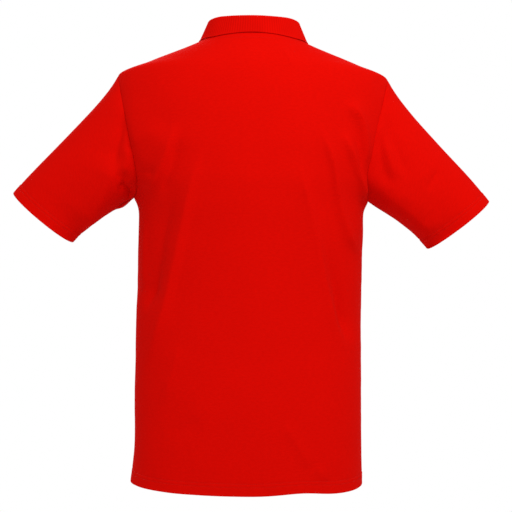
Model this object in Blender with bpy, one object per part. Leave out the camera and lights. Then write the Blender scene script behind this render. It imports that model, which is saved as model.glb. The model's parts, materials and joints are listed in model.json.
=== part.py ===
"""Polo shirt, filled out as if worn, with no wearer in it.

The shirt is drawn first as one open skin: rings round the body from hem to neck, and a tube
for each sleeve, with the largest folds pushed into it. The skin is then cut along its seams
into the pieces a maker sews, and each piece gets its wall thickness. The collar, plackets and
buttons are made from the points of that skin.

Frame: metres, +Z up, the front of the shirt faces -Y and its left sleeve points to +X.
The origin is the middle of the neck opening, level with the tops of the shoulder seams.
"""

import math

import bmesh
import bpy
import numpy as np
from mathutils import Matrix, Vector
from mathutils.bvhtree import BVHTree

MM = 0.001

# Driving dimensions, metres.
CLOTH = 1.6 * MM
RIB = 1.8 * MM
SEAM_GAP = 0.3 * MM
SHARPEST_MITRE = 1.2
PLACKET_WIDTH = 34 * MM
PLACKET_STAND = 0.4 * MM
PLACKET_PLY = 1.5 * MM
BUTTON_DIAMETER = 11.5 * MM
BUTTON_THICKNESS = 2.6 * MM
BUTTON_RIM = 0.5 * MM
BUTTON_COUNT = 3
BUTTON_FIRST = 16 * MM
BUTTON_SPACING = 50 * MM
BUTTON_GAP = 0.3 * MM

# Grid counts.
BODY_COLUMNS = 22
SIDE_COLUMNS = 10
SLEEVE_ROWS = 8
CURVE_SAMPLES = 400
BUTTON_SIDES = 20

# Rings round the body, from hem to neck. A ring is the upright outline of one level: its
# back half lies in a plane from side_z to back_z, its front half from side_z to front_z.
# half is half its width, flat how flat it runs across the centre, turn how round the side is.
# back_x and front_x are where the armhole seam cuts it. steps is the grid rows to the next.
# Sizes in millimetres.
RING_COLUMNS = ("name", "steps", "side_z", "back_z", "front_z", "half", "back_y", "front_y",
                "flat", "turn", "back_x", "front_x")
RINGS = (
    ("hem",    4, -709, -716, -714, 187.0, 117.0, 121.0, 2.40, 2.30, None, None),
    ("hip",    5, -590, -590, -590, 183.5, 114.0, 125.0, 2.40, 2.30, None, None),
    ("waist",  4, -430, -430, -432, 181.0, 108.0, 128.0, 2.40, 2.25, None, None),
    ("ribs",   2, -318, -318, -322, 181.0, 113.0, 133.0, 2.40, 2.20, None, None),
    ("under",  1, -263, -263, -268, 180.5, 118.0, 135.5, 2.40, 2.20, None, None),
    ("armpit", 2, -250, -248, -256, 182.5, 119.0, 136.0, 2.40, 2.20, 182.5, 182.5),
    ("chest",  2, -222, -218, -219, 192.0, 121.0, 133.0, 2.36, 2.15, 181, 176),
    ("blade",  2, -185, -176, -192, 206.0, 121.0, 127.0, 2.28, 2.05, 188, 177),
    ("upper",  2, -148, -134, -166, 217.0, 118.0, 119.0, 2.18, 1.95, 197, 186),
    ("high",   1, -112, -96, -143, 222.0, 113.0, 110.0, 2.10, 1.85, 206, 199),
    ("cap",    1, -80, -67, -127, 223.0, 106.5, 103.0, 2.05, 1.78, 213, 210),
    ("tip",    2, -57, -46, -116, 218.0, 100.0, 99.0, 2.00, 1.70, 218, 218),
    ("slope",  2, -39, -29, -104, 177.0, 92.0, 93.0, 2.00, 1.65, None, None),
    ("yoke",   2, -17.5, -9, -91, 122.0, 79.0, 86.0, 2.00, 1.75, None, None),
    ("neck",   0, -2, 9, -74, 80.0, 66.0, 76.0, 2.00, 2.00, None, None),
)
PLACKET_BOTTOM = "chest"

# Where the side seam, armhole and sleeve seam meet, the cloth is drawn out to a corner.
ARMPIT_REACH = 7 * MM
ARMPIT_DROP = 3 * MM
ARMPIT_SPREAD = 17 * MM

# How far the back and front part at the foot of each side seam, as a short vent.
VENT_GAPE = 2.5 * MM

# The sleeve's opening, seen from the back, and the directions its top and underarm leave
# the body in. Millimetres and degrees below level.
CUFF_TOP = (386, -249)
CUFF_UNDERARM = (289, -328)
CUFF_DEPTH = 92
CUFF_TURN = 4
CUFF_FORWARD = 4
TOP_DROP = 62
UNDERARM_DROP = 30
START_PULL = 0.75
END_PULL = 0.9

# The largest folds, each a ridge (height above 0) or a trough (below 0) along a bowed path
# on one side of the shirt, as seen from that side. Millimetres.
FOLD_COLUMNS = ("side", "x0", "z0", "x1", "z1", "bow", "height", "width")
FOLDS = (
    ("back", 102, -95, 176, -250, -9, 5.0, 12),
    ("back", 80, -195, 172, -530, -6, 6.0, 15),
    ("back", 128, -290, 155, -425, 4, -7.0, 13),
    ("back", 171, -300, 173, -430, 2, 4.0, 9),
    ("back", -150, -112, -185, -215, 12, -5.0, 10),
    ("back", -108, -150, -172, -345, 6, 5.0, 13),
    ("back", -136, -150, -180, -252, 4, 4.0, 11),
    ("back", -74, -185, -153, -560, 5, 6.0, 15),
    ("back", -104, -320, -151, -495, 4, -6.0, 13),
    ("front", 96, -190, 170, -470, -8, 6.0, 16),
    ("front", 130, -330, 160, -455, 5, -6.0, 14),
    ("front", -112, -170, -174, -330, 9, 5.0, 14),
    ("front", -70, -260, -150, -580, 6, 6.0, 16),
    ("front", -118, -350, -158, -520, 3, -6.0, 13),
)
FOLD_SAMPLES = 13
SIDE_BLEND = 25 * MM
OTHER_SIDE = np.array([-1.0, 1.0, 1.0])

# The folded collar round the neck, from the centre back (0) to the centre front (1): where
# its fold turns over and where its lower edge hangs. Millimetres.
COLLAR_COLUMNS = ("around", "fold_x", "fold_y", "fold_z", "edge_x", "edge_y", "edge_z")
COLLAR = (
    (0.00, 0.0, 64.0, 30.5, 0.0, 70.5, 7.2),
    (0.25, 50.0, 47.0, 30.5, 59.0, 54.0, 1.0),
    (0.45, 70.5, 12.0, 27.0, 87.0, 12.0, -4.0),
    (0.60, 67.0, -28.0, 14.0, 84.0, -42.0, -24.0),
    (0.80, 45.0, -64.0, -14.0, 66.0, -93.0, -78.0),
    (0.92, 20.0, -79.0, -36.0, 50.0, -105.0, -110.0),
    (1.00, 4.0, -83.0, -50.0, 42.0, -107.0, -116.0),
)
FOLD_RADIUS = 3.2 * MM
STAND_ROWS = 2
FOLD_ROWS = 3
FALL_ROWS = 3
COLLAR_CLEARANCE = 3.0 * MM
COLLAR_SEAM = 0.8 * MM
COLLAR_END_GAP = 1.2 * MM

RED = (0.66, 0.012, 0.004)
RIB_RED = (0.60, 0.010, 0.004)
BUTTON_RED = (0.52, 0.010, 0.006)

BACK, FRONT, SLEEVE_LEFT, SLEEVE_RIGHT, PLACKET = range(1, 6)


def smooth_column(knots, values, at):
    """Read a table's column at any place, smoothly and without overshooting its values."""
    steps = np.diff(knots)
    rises = np.diff(values) / steps
    slopes = np.zeros(len(knots))
    slopes[0], slopes[-1] = rises[0], rises[-1]
    for i in range(1, len(knots) - 1):
        if rises[i - 1] * rises[i] > 0:
            slopes[i] = 2 * rises[i - 1] * rises[i] / (rises[i - 1] + rises[i])
    cell = np.clip(np.searchsorted(knots, at, side="right") - 1, 0, len(steps) - 1)
    step = steps[cell]
    t = (at - np.asarray(knots)[cell]) / step
    start, end = np.asarray(values)[cell], np.asarray(values)[cell + 1]
    return (start * (1 + 2 * t) * (1 - t) ** 2 + step * slopes[cell] * t * (1 - t) ** 2
            + end * t * t * (3 - 2 * t) - step * slopes[cell + 1] * t * t * (1 - t))


def ring_table():
    """The rings as one dictionary of columns, in metres, with the knots that place them."""
    table = {name: [row[i] for row in RINGS] for i, name in enumerate(RING_COLUMNS)}
    for edge in ("back_x", "front_x"):
        table[edge] = [half if x is None else x for x, half in zip(table[edge], table["half"])]
    for name in ("side_z", "back_z", "front_z", "half", "back_y", "front_y", "back_x",
                 "front_x"):
        table[name] = np.array(table[name]) * MM
    spans = np.hypot(np.diff(table["side_z"]), np.diff(table["half"]))
    table["knot"] = np.concatenate(([0.0], np.cumsum(spans)))
    return table


def ring_rows(table):
    """Every grid row's own ring, as a list of dictionaries, and each named ring's row."""
    places = [table["knot"][0]]
    row_of = {table["name"][0]: 0}
    for i, steps in enumerate(table["steps"][:-1]):
        span = table["knot"][i + 1] - table["knot"][i]
        places += [table["knot"][i] + span * (k + 1) / steps for k in range(steps)]
        row_of[table["name"][i + 1]] = len(places) - 1
    names = [name for name in RING_COLUMNS if name not in ("name", "steps")]
    read = {name: smooth_column(table["knot"], table[name], np.array(places)) for name in names}
    return [{name: read[name][i] for name in names} for i in range(len(places))], row_of


def half_ring(ring, side):
    """Points along one half of a ring, from its seam on the +X side to the centre."""
    sign = 1 if side == "back" else -1
    angle = np.linspace(0, math.pi / 2, CURVE_SAMPLES)
    x = ring["half"] * np.cos(angle) ** (2 / ring["flat"])
    depth = np.clip(1 - (x / ring["half"]) ** ring["flat"], 0, 1) ** (1 / ring["turn"])
    edge = ring[side + "_x"]
    if edge < ring["half"] - 1e-9:
        edge_depth = (1 - (edge / ring["half"]) ** ring["flat"]) ** (1 / ring["turn"])
        keep = x < edge
        x = np.concatenate(([edge], x[keep]))
        depth = np.concatenate(([edge_depth], depth[keep]))
    z = ring["side_z"] + (ring[side + "_z"] - ring["side_z"]) * depth
    return np.column_stack((x, sign * ring[side + "_y"] * depth, z))


def spread(curve, count, until=None):
    """count + 1 points spaced evenly along a curve, up to where its x falls to until."""
    length = np.concatenate(([0.0], np.cumsum(np.linalg.norm(np.diff(curve, axis=0), axis=1))))
    end = length[-1]
    if until is not None:
        end = np.interp(-until, -curve[:, 0], length)
    at = np.linspace(0, end, count + 1)
    return np.column_stack([np.interp(at, length, curve[:, k]) for k in range(3)])


def back_grid(rings):
    """The back panel's points, row by row, from the +X side seam to the -X one."""
    rows = []
    for ring in rings:
        half = spread(half_ring(ring, "back"), BODY_COLUMNS // 2)
        rows.append(np.vstack((half, half[-2::-1] * OTHER_SIDE)))
    rows[0][[0, -1], 1] += VENT_GAPE
    return np.array(rows)


def front_grid(rings):
    """The front's points, from the -X side seam to the +X one, with the slot in the middle."""
    rows = []
    for ring in rings:
        curve = half_ring(ring, "front")
        side = spread(curve, SIDE_COLUMNS, until=PLACKET_WIDTH / 2)
        centre = curve[-1] * np.array([0.0, 1.0, 1.0])
        rows.append(np.vstack((side * OTHER_SIDE, centre, side[::-1])))
    rows[0][[0, -1], 1] -= VENT_GAPE
    return np.array(rows)


def sleeve_grid(back, front, row_of):
    """The +X sleeve's points, ring by ring from the armhole to the cuff."""
    low, high = row_of["armpit"], row_of["tip"]
    up = back[low:high + 1, 0]
    down = front[low:high, -1][::-1]
    armhole = np.vstack((up, down))
    top, under = (np.array([x * MM, -CUFF_FORWARD * MM, z * MM])
                  for x, z in (CUFF_TOP, CUFF_UNDERARM))
    centre, long_axis = (top + under) / 2, (top - under) / 2
    outward = np.array([long_axis[2], 0.0, -long_axis[0]]) / np.linalg.norm(long_axis)
    deep_axis = outward * CUFF_TURN * MM + np.array([0.0, CUFF_DEPTH / 2 * MM, 0.0])
    angle = np.concatenate((arc_share(up) * math.pi, math.pi + arc_share(
        np.vstack((up[-1:], down)))[1:] * math.pi))
    cuff = centre - np.outer(np.cos(angle), long_axis) + np.outer(np.sin(angle), deep_axis)
    height = (armhole[:, 2] - up[0, 2]) / (up[-1, 2] - up[0, 2])
    drop = np.radians(UNDERARM_DROP + (TOP_DROP - UNDERARM_DROP) * height)
    leave = np.column_stack((np.cos(drop), 0.25 * np.sin(angle), -np.sin(drop)))
    reach = np.linalg.norm(cuff - armhole, axis=1)[:, None]
    rows = []
    for i in range(SLEEVE_ROWS + 1):
        t = i / SLEEVE_ROWS
        rows.append(armhole * (1 + 2 * t) * (1 - t) ** 2 + cuff * t * t * (3 - 2 * t)
                    + START_PULL * reach * leave * t * (1 - t) ** 2
                    - END_PULL * reach * outward * t * t * (1 - t))
    return np.array(rows)


def arc_share(points):
    """How far along a line of points each one lies, from 0 to 1."""
    length = np.concatenate(([0.0], np.cumsum(np.linalg.norm(np.diff(points, axis=0), axis=1))))
    return length / length[-1]


def add_grid(bm, points, panel_of):
    """Add a grid of faces through points[row][column]; panel_of(row, column) names each."""
    layer = bm.faces.layers.int["panel"]
    rows, columns = points.shape[0] - 1, points.shape[1] - 1
    made = bmesh.ops.create_grid(bm, x_segments=columns, y_segments=rows, size=0.5)["verts"]
    cells = {}
    for vert in made:
        cells[vert] = (round((vert.co.y + 0.5) * rows), round((vert.co.x + 0.5) * columns))
    for face in {face for vert in made for face in vert.link_faces}:
        row, column = (min(cells[vert][k] for vert in face.verts) for k in (0, 1))
        face[layer] = panel_of(row, column)
    for vert, (row, column) in cells.items():
        vert.co = points[row, column]


def fold_offset(places):
    """How far the folds move each place of the skin outwards."""
    offset = np.zeros(len(places))
    seen = places[:, [0, 2]]
    share = np.linspace(0, 1, FOLD_SAMPLES)
    for row in FOLDS:
        fold = dict(zip(FOLD_COLUMNS, row))
        start = np.array([fold["x0"], fold["z0"]]) * MM
        end = np.array([fold["x1"], fold["z1"]]) * MM
        along = (end - start) / np.linalg.norm(end - start)
        across = np.array([along[1], -along[0]])
        path = (start + np.outer(share, end - start)
                + np.outer(4 * share * (1 - share), across * fold["bow"] * MM))
        gap = np.linalg.norm(seen[:, None, :] - path[None, :, :], axis=2)
        nearest = gap.argmin(axis=1)
        fade = np.sin(math.pi * share[nearest])
        facing = places[:, 1] * (1 if fold["side"] == "back" else -1)
        mask = np.clip(facing / SIDE_BLEND, 0, 1)
        profile = np.exp(-(gap.min(axis=1) / (fold["width"] * MM)) ** 2)
        offset += fold["height"] * MM * profile * fade * mask
    return offset


def draw_skin():
    """The whole shirt but its collar, as one open skin with its panels marked on its faces.

    Each of its corners also holds the vector from the cloth's outside to its inside.
    """
    rings, row_of = ring_rows(ring_table())
    back, front = back_grid(rings), front_grid(rings)
    sleeve = sleeve_grid(back, front, row_of)
    sleeve = np.concatenate((sleeve, sleeve[:, :1]), axis=1)
    slot = (SIDE_COLUMNS, SIDE_COLUMNS + 1)
    slot_row = row_of[PLACKET_BOTTOM]

    bm = bmesh.new()
    bm.faces.layers.int.new("panel")
    add_grid(bm, back, lambda row, column: BACK)
    add_grid(bm, front,
             lambda row, column: PLACKET if column in slot and row >= slot_row else FRONT)
    add_grid(bm, sleeve, lambda row, column: SLEEVE_LEFT)
    add_grid(bm, sleeve[:, ::-1] * OTHER_SIDE, lambda row, column: SLEEVE_RIGHT)
    bmesh.ops.remove_doubles(bm, verts=bm.verts, dist=0.01 * MM)
    bm.normal_update()

    places = np.array([vert.co[:] for vert in bm.verts])
    normals = np.array([vert.normal[:] for vert in bm.verts])
    moved = places + normals * fold_offset(places)[:, None]
    for armpit, reach in ((back[row_of["armpit"], 0], ARMPIT_REACH),
                          (back[row_of["armpit"], -1], -ARMPIT_REACH)):
        near = np.exp(-np.sum((places - armpit) ** 2, axis=1) / ARMPIT_SPREAD ** 2)
        moved += np.outer(near, (reach, 0.0, -ARMPIT_DROP))
    for vert, place in zip(bm.verts, moved):
        vert.co = place
    bm.normal_update()
    outward = bm.verts.layers.float_vector.new("outward")
    for vert in bm.verts:
        vert[outward] = vert.normal * min(vert.calc_shell_factor(), SHARPEST_MITRE)
    neckline = np.vstack((back[-1, BODY_COLUMNS // 2:], front[-1, 1:SIDE_COLUMNS + 2]))
    return bm, neckline


def pull_in_edges(bm, distance):
    """Move a piece's open edges in along the cloth, to leave a gap at its seams."""
    moves = {}
    for edge in bm.edges:
        if not edge.is_boundary:
            continue
        face = edge.link_faces[0]
        loop = next(loop for loop in edge.link_loops if loop.face == face)
        along = (loop.link_loop_next.vert.co - loop.vert.co).normalized()
        inward = face.normal.cross(along)
        for vert in edge.verts:
            moves.setdefault(vert, []).append(inward)
    for vert, inwards in moves.items():
        total = sum(inwards, Vector())
        mean = total.normalized()
        vert.co += mean * (distance / max(mean.dot(inwards[0]), 0.5))


def thicken(bm, outer, inner):
    """Make an open sheet a closed wall between two distances along its outward vectors."""
    outward = bm.verts.layers.float_vector["outward"]
    made = bmesh.ops.extrude_face_region(bm, geom=bm.faces[:], use_keep_orig=True)["geom"]
    inside = {item for item in made if isinstance(item, bmesh.types.BMVert)}
    for vert in bm.verts:
        vert.co += vert[outward] * (inner if vert in inside else outer)
    walls = [face for face in bm.faces if 0 < sum(vert in inside for vert in face.verts) < 4]
    bmesh.ops.triangulate(bm, faces=walls, quad_method="SHORT_EDGE")
    bmesh.ops.recalc_face_normals(bm, faces=bm.faces)


def cut_out(skin, panel, outer=0.0, inner=-CLOTH):
    """One panel of the skin as a bmesh of its own, with its thickness."""
    bm = skin.copy()
    layer = bm.faces.layers.int["panel"]
    others = [face for face in bm.faces if face[layer] != panel]
    bmesh.ops.delete(bm, geom=others, context="FACES")
    bm.normal_update()
    pull_in_edges(bm, SEAM_GAP / 2)
    thicken(bm, outer, inner)
    return bm


def collar_curves(around):
    """The collar's fold and its lower edge on the -X side, at each place round the neck."""
    table = {name: np.array([row[i] for row in COLLAR]) for i, name in enumerate(COLLAR_COLUMNS)}
    curves = []
    for part in ("fold", "edge"):
        columns = []
        for axis, flip in (("x", -1), ("y", 1), ("z", 1)):
            values = table[f"{part}_{axis}"]
            past_centre = np.concatenate(([flip * values[1]], values)) * MM
            knots = np.concatenate(([-table["around"][1]], table["around"]))
            columns.append(smooth_column(knots, past_centre, around))
        curves.append(np.column_stack(columns) * OTHER_SIDE)
    return curves


def collar_grid(neckline):
    """The collar's points from its seam at the neck, over its fold, to its lower edge."""
    fold, edge = collar_curves(arc_share(neckline))
    seam = neckline + np.array([0.0, 0.0, COLLAR_SEAM])
    seam[-1, 0] = -COLLAR_END_GAP
    out = (edge - fold) * np.array([1.0, 1.0, 0.0])
    out /= np.linalg.norm(out, axis=1)[:, None]
    up = np.array([0.0, 0.0, 1.0])
    stand_top = fold - out * FOLD_RADIUS
    rows = [seam + (stand_top - seam) * i / STAND_ROWS for i in range(STAND_ROWS)]
    for i in range(FOLD_ROWS + 1):
        turn = math.pi * i / FOLD_ROWS
        rows.append(fold + FOLD_RADIUS * (up * math.sin(turn) - out * math.cos(turn)))
    hang = fold + out * FOLD_RADIUS
    rows += [hang + (edge - hang) * i / FALL_ROWS for i in range(1, FALL_ROWS + 1)]
    half = np.array(rows)
    return np.concatenate((half[:, :0:-1] * OTHER_SIDE, half), axis=1)


def lift_clear(verts, skin):
    """Move the collar's fall outwards wherever it would come too close to the shirt."""
    tree = BVHTree.FromBMesh(skin)
    for vert in verts:
        place, normal, _, _ = tree.find_nearest(vert.co)
        height = (vert.co - place).dot(normal)
        if height < COLLAR_CLEARANCE:
            vert.co += normal * (COLLAR_CLEARANCE - height)


def make_collar(skin, neckline):
    """The collar as a bmesh: a stand, a soft fold and a fall that lies over the shoulders."""
    points = collar_grid(neckline)
    bm = bmesh.new()
    row_of = bm.faces.layers.int.new("panel")
    add_grid(bm, points, lambda row, column: row)
    fall = STAND_ROWS + FOLD_ROWS
    lift_clear([vert for vert in bm.verts
                if all(face[row_of] >= fall for face in vert.link_faces)], skin)
    bm.normal_update()
    outward = bm.verts.layers.float_vector.new("outward")
    for vert in bm.verts:
        vert[outward] = vert.normal
    thicken(bm, RIB / 2, -RIB / 2)
    return bm


def placket_place(skin, drop):
    """A point of the skin on the centre front, drop below the neck seam, and its normal."""
    tree = BVHTree.FromBMesh(skin)
    neck_z = RINGS[-1][RING_COLUMNS.index("front_z")] * MM
    place, normal, _, _ = tree.ray_cast(Vector((0, -1, neck_z - drop)), Vector((0, 1, 0)))
    return place, normal


def make_button(skin, drop):
    """A round button with a softened rim, lying on the placket, drop below the neck seam."""
    place, normal = placket_place(skin, drop)
    bm = bmesh.new()
    bmesh.ops.create_cone(bm, cap_ends=True, segments=BUTTON_SIDES, radius1=BUTTON_DIAMETER / 2,
                          radius2=BUTTON_DIAMETER / 2, depth=BUTTON_THICKNESS)
    rims = [edge for edge in bm.edges if any(len(face.verts) > 4 for face in edge.link_faces)]
    bmesh.ops.bevel(bm, geom=rims, offset=BUTTON_RIM, segments=1, affect="EDGES")
    height = PLACKET_STAND + BUTTON_GAP + BUTTON_THICKNESS / 2
    turn = normal.to_track_quat("Z", "Y").to_matrix().to_4x4()
    bm.transform(Matrix.Translation(place + normal * height) @ turn)
    return bm


def make_material(name, colour, roughness):
    """A plain surface of the given colour."""
    material = bpy.data.materials.new(name)
    material.use_nodes = True
    shader = material.node_tree.nodes["Principled BSDF"]
    shader.inputs["Base Color"].default_value = (*colour, 1.0)
    shader.inputs["Roughness"].default_value = roughness
    shader.inputs["Metallic"].default_value = 0.0
    return material


def add_part(collection, name, bm, colour, roughness):
    """Put a bmesh into the collection as a named object with a material of its own."""
    mesh = bpy.data.meshes.new(name)
    bm.to_mesh(mesh)
    bm.free()
    mesh.shade_smooth()
    mesh.set_sharp_from_angle(angle=math.radians(50))
    mesh.materials.append(make_material(name, colour, roughness))
    collection.objects.link(bpy.data.objects.new(name, mesh))


def main():
    for old in list(bpy.data.objects):
        bpy.data.objects.remove(old)
    shirt = bpy.data.collections.new("polo_shirt")
    bpy.context.scene.collection.children.link(shirt)

    skin, neckline = draw_skin()
    for name, panel in (("back", BACK), ("front", FRONT), ("sleeve_left", SLEEVE_LEFT),
                        ("sleeve_right", SLEEVE_RIGHT)):
        add_part(shirt, name, cut_out(skin, panel), RED, 0.85)
    top_inner = PLACKET_STAND - PLACKET_PLY
    under_outer = top_inner - SEAM_GAP
    add_part(shirt, "placket_top", cut_out(skin, PLACKET, PLACKET_STAND, top_inner), RED, 0.85)
    add_part(shirt, "placket_under",
             cut_out(skin, PLACKET, under_outer, under_outer - PLACKET_PLY), RED, 0.85)
    add_part(shirt, "collar", make_collar(skin, neckline), RIB_RED, 0.9)
    for i in range(BUTTON_COUNT):
        button = make_button(skin, BUTTON_FIRST + i * BUTTON_SPACING)
        add_part(shirt, f"button_{i + 1}", button, BUTTON_RED, 0.35)
    skin.free()


main()
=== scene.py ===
"""Polo shirt, filled out as if worn, with no wearer in it.

The shirt is drawn as one open skin, ring by ring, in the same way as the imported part, only
finer. Folds, seam grooves and hem puckers are pushed into the skin, which is then cut along its
seams into the pieces a maker sews. Each piece becomes a thin closed shell with its stitching.

Frame: metres, +Z up, the front of the shirt faces -Y and its left sleeve points to +X.
"""

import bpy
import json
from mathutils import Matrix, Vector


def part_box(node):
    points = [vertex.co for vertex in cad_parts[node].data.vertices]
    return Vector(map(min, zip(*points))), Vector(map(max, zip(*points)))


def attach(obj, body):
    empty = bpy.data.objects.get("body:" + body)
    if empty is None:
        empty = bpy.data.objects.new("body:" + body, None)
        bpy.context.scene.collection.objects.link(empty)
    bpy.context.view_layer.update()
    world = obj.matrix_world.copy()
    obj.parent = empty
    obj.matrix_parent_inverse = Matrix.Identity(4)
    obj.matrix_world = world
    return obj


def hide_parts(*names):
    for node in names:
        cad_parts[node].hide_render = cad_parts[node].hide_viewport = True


bl_info = {
    "name": "Polo Shirt",
    "version": (1, 0, 0),
    "blender": (4, 5, 0),
    "location": "View3D > Sidebar > Polo Shirt",
    "description": "Builds a plain knitted polo shirt from its sewn pieces",
    "category": "Add Mesh",
}

import copy
import json
import math

import bmesh
import bpy
import numpy as np
from mathutils import Matrix, Vector, noise
from mathutils.bvhtree import BVHTree
from mathutils.kdtree import KDTree

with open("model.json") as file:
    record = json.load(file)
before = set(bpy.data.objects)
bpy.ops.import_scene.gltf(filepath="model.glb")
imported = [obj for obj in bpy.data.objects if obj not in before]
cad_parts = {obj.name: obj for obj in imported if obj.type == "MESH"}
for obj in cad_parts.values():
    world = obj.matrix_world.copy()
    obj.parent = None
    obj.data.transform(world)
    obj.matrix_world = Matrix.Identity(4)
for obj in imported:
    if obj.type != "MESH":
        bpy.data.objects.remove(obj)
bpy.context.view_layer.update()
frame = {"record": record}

MM = 0.001
BODY = "root"

# Rings round the body, from hem to neck. The back half of a ring lies in a plane that slopes
# from side_z to back_z, and its front half in one from side_z to front_z. half is half its
# width, back_y and front_y its depths, flat how flat it runs across the centre and turn how
# round its side is. back_x and front_x are where the armhole seam cuts it. Millimetres.
RING_COLUMNS = ("name", "side_z", "back_z", "front_z", "half", "back_y", "front_y", "flat",
                "turn", "back_x", "front_x")
RING_SHAPES = ("flat", "turn")
RINGS = (
    ("hem",    -709, -716, -714, 187.0, 117.0, 121.0, 2.40, 2.30, None, None),
    ("hip",    -590, -590, -590, 183.5, 114.0, 125.0, 2.40, 2.30, None, None),
    ("waist",  -430, -430, -432, 181.0, 108.0, 128.0, 2.40, 2.25, None, None),
    ("ribs",   -318, -318, -322, 181.0, 113.0, 133.0, 2.40, 2.20, None, None),
    ("under",  -263, -263, -268, 180.5, 118.0, 135.5, 2.40, 2.20, None, None),
    ("armpit", -250, -248, -256, 182.5, 119.0, 136.0, 2.40, 2.20, 182.5, 182.5),
    ("chest",  -222, -218, -219, 192.0, 121.0, 133.0, 2.36, 2.15, 181, 176),
    ("blade",  -185, -176, -192, 206.0, 121.0, 127.0, 2.28, 2.05, 188, 177),
    ("upper",  -148, -134, -166, 217.0, 118.0, 119.0, 2.18, 1.95, 197, 186),
    ("high",   -112, -96, -143, 222.0, 113.0, 110.0, 2.10, 1.85, 206, 199),
    ("cap",    -80, -67, -127, 223.0, 106.5, 103.0, 2.05, 1.78, 213, 210),
    ("tip",    -57, -46, -116, 218.0, 100.0, 99.0, 2.00, 1.70, 218, 218),
    ("slope",  -39, -29, -104, 177.0, 92.0, 93.0, 2.00, 1.65, None, None),
    ("yoke",   -17.5, -9, -91, 122.0, 79.0, 86.0, 2.00, 1.75, None, None),
    ("neck",   -2, 9, -74, 80.0, 66.0, 76.0, 2.00, 2.00, None, None),
)
PLACKET_BOTTOM = "chest"
PLACKET_WIDTH = 34 * MM
BUTTONS = ("button_1", "button_2", "button_3")

# Places where the cloth is drawn out or tucked in: the x, y and z of its middle, how far it
# spreads, and how far it moves the cloth along x, y and z. The first two are the corners where
# side, armhole and sleeve seams meet. The last seven draw out the back of the left armhole,
# carry the left cuff forwards and square the right sleeve's lower edge. Millimetres.
PULLS = (
    (182.5, 0, -250, 17, 7, 0, -3),
    (-182.5, 0, -250, 17, -7, 0, -3),
    (212, -24, -256, 15, 0, 0, -8),
    (212, 6, -256, 13, 0, 0, 4),
    (-88, 117, -716, 44, 0, 0, 5),
    (70, -121, -714, 46, 0, 0, 4),
    (187, 0, -650, 55, -4, 0, 0),
    (207, 40, -104, 34, 0, 5, 0),
    (197, 50, -145, 36, 0, 7, 0),
    (188, 54, -190, 34, 0, 7, 0),
    (335, 0, -265, 95, 0, -9, 0),
    (-232, 28, -251, 21, 0, 8, 0),
    (-255, 28, -274, 21, 0, 8, 0),
    (-279, 28, -298, 21, 0, 8, 0),
)

# The ends of the cuff, seen from the back, the cuff's own depth, and how far its rear turns
# outwards and its middle lies forwards. Then how steeply the sleeve's top and underarm leave
# the body, in degrees below level, how far its front and back swell as they do, and how
# strongly both ends of the sleeve keep their own direction. Millimetres.
CUFF_TOP = (386, -249)
CUFF_UNDERARM = (289, -328)
CUFF_DEPTH = 92
CUFF_TURN = 4
CUFF_FORWARD = 4
TOP_DROP = 62
UNDERARM_DROP = 30
LEAVE_DEPTH = 0.25
START_PULL = 0.75
END_PULL = 0.9

# The folded collar round the neck, from the centre back (0) to the centre front (1): where
# its fold turns over and where its lower edge hangs. Millimetres.
COLLAR_COLUMNS = ("around", "fold_x", "fold_y", "fold_z", "edge_x", "edge_y", "edge_z")
COLLAR = (
    (0.00, 0.0, 64.0, 30.5, 0.0, 69.4, 7.2),
    (0.25, 50.0, 47.0, 30.5, 59.0, 54.0, 1.0),
    (0.45, 70.5, 12.0, 27.0, 87.0, 12.0, -4.0),
    (0.60, 67.0, -28.0, 14.0, 84.0, -42.0, -24.0),
    (0.80, 45.0, -64.0, -14.0, 66.0, -93.0, -78.0),
    (0.92, 20.0, -79.0, -36.0, 50.0, -105.0, -110.0),
    (1.00, 4.0, -83.0, -50.0, 42.0, -107.0, -116.0),
)
FOLD_RADIUS = 3.2 * MM
COLLAR_ROUNDING = 0.8 * MM
COLLAR_SEAM = 0.8 * MM
# How far each end of its seam stays from the centre, and at what shares of the seam that
# starts and is full.
COLLAR_END_GAP = 1.2 * MM
COLLAR_END = (0.9, 1.0)
# How far its fall keeps off the shirt, how deep in the shirt a point may lie and still be
# lifted out, how much of the grid the fall is, and how often each lift is smoothed.
COLLAR_CLEARANCE = 1.4 * MM
COLLAR_BURIED = 20 * MM
FALL_SHARE = 0.62
LIFT_PASSES = (8, 0)
# How far from the collar's free edges its ribs start, and are full.
RIBS_START = (2.0 * MM, 4.5 * MM)

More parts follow.
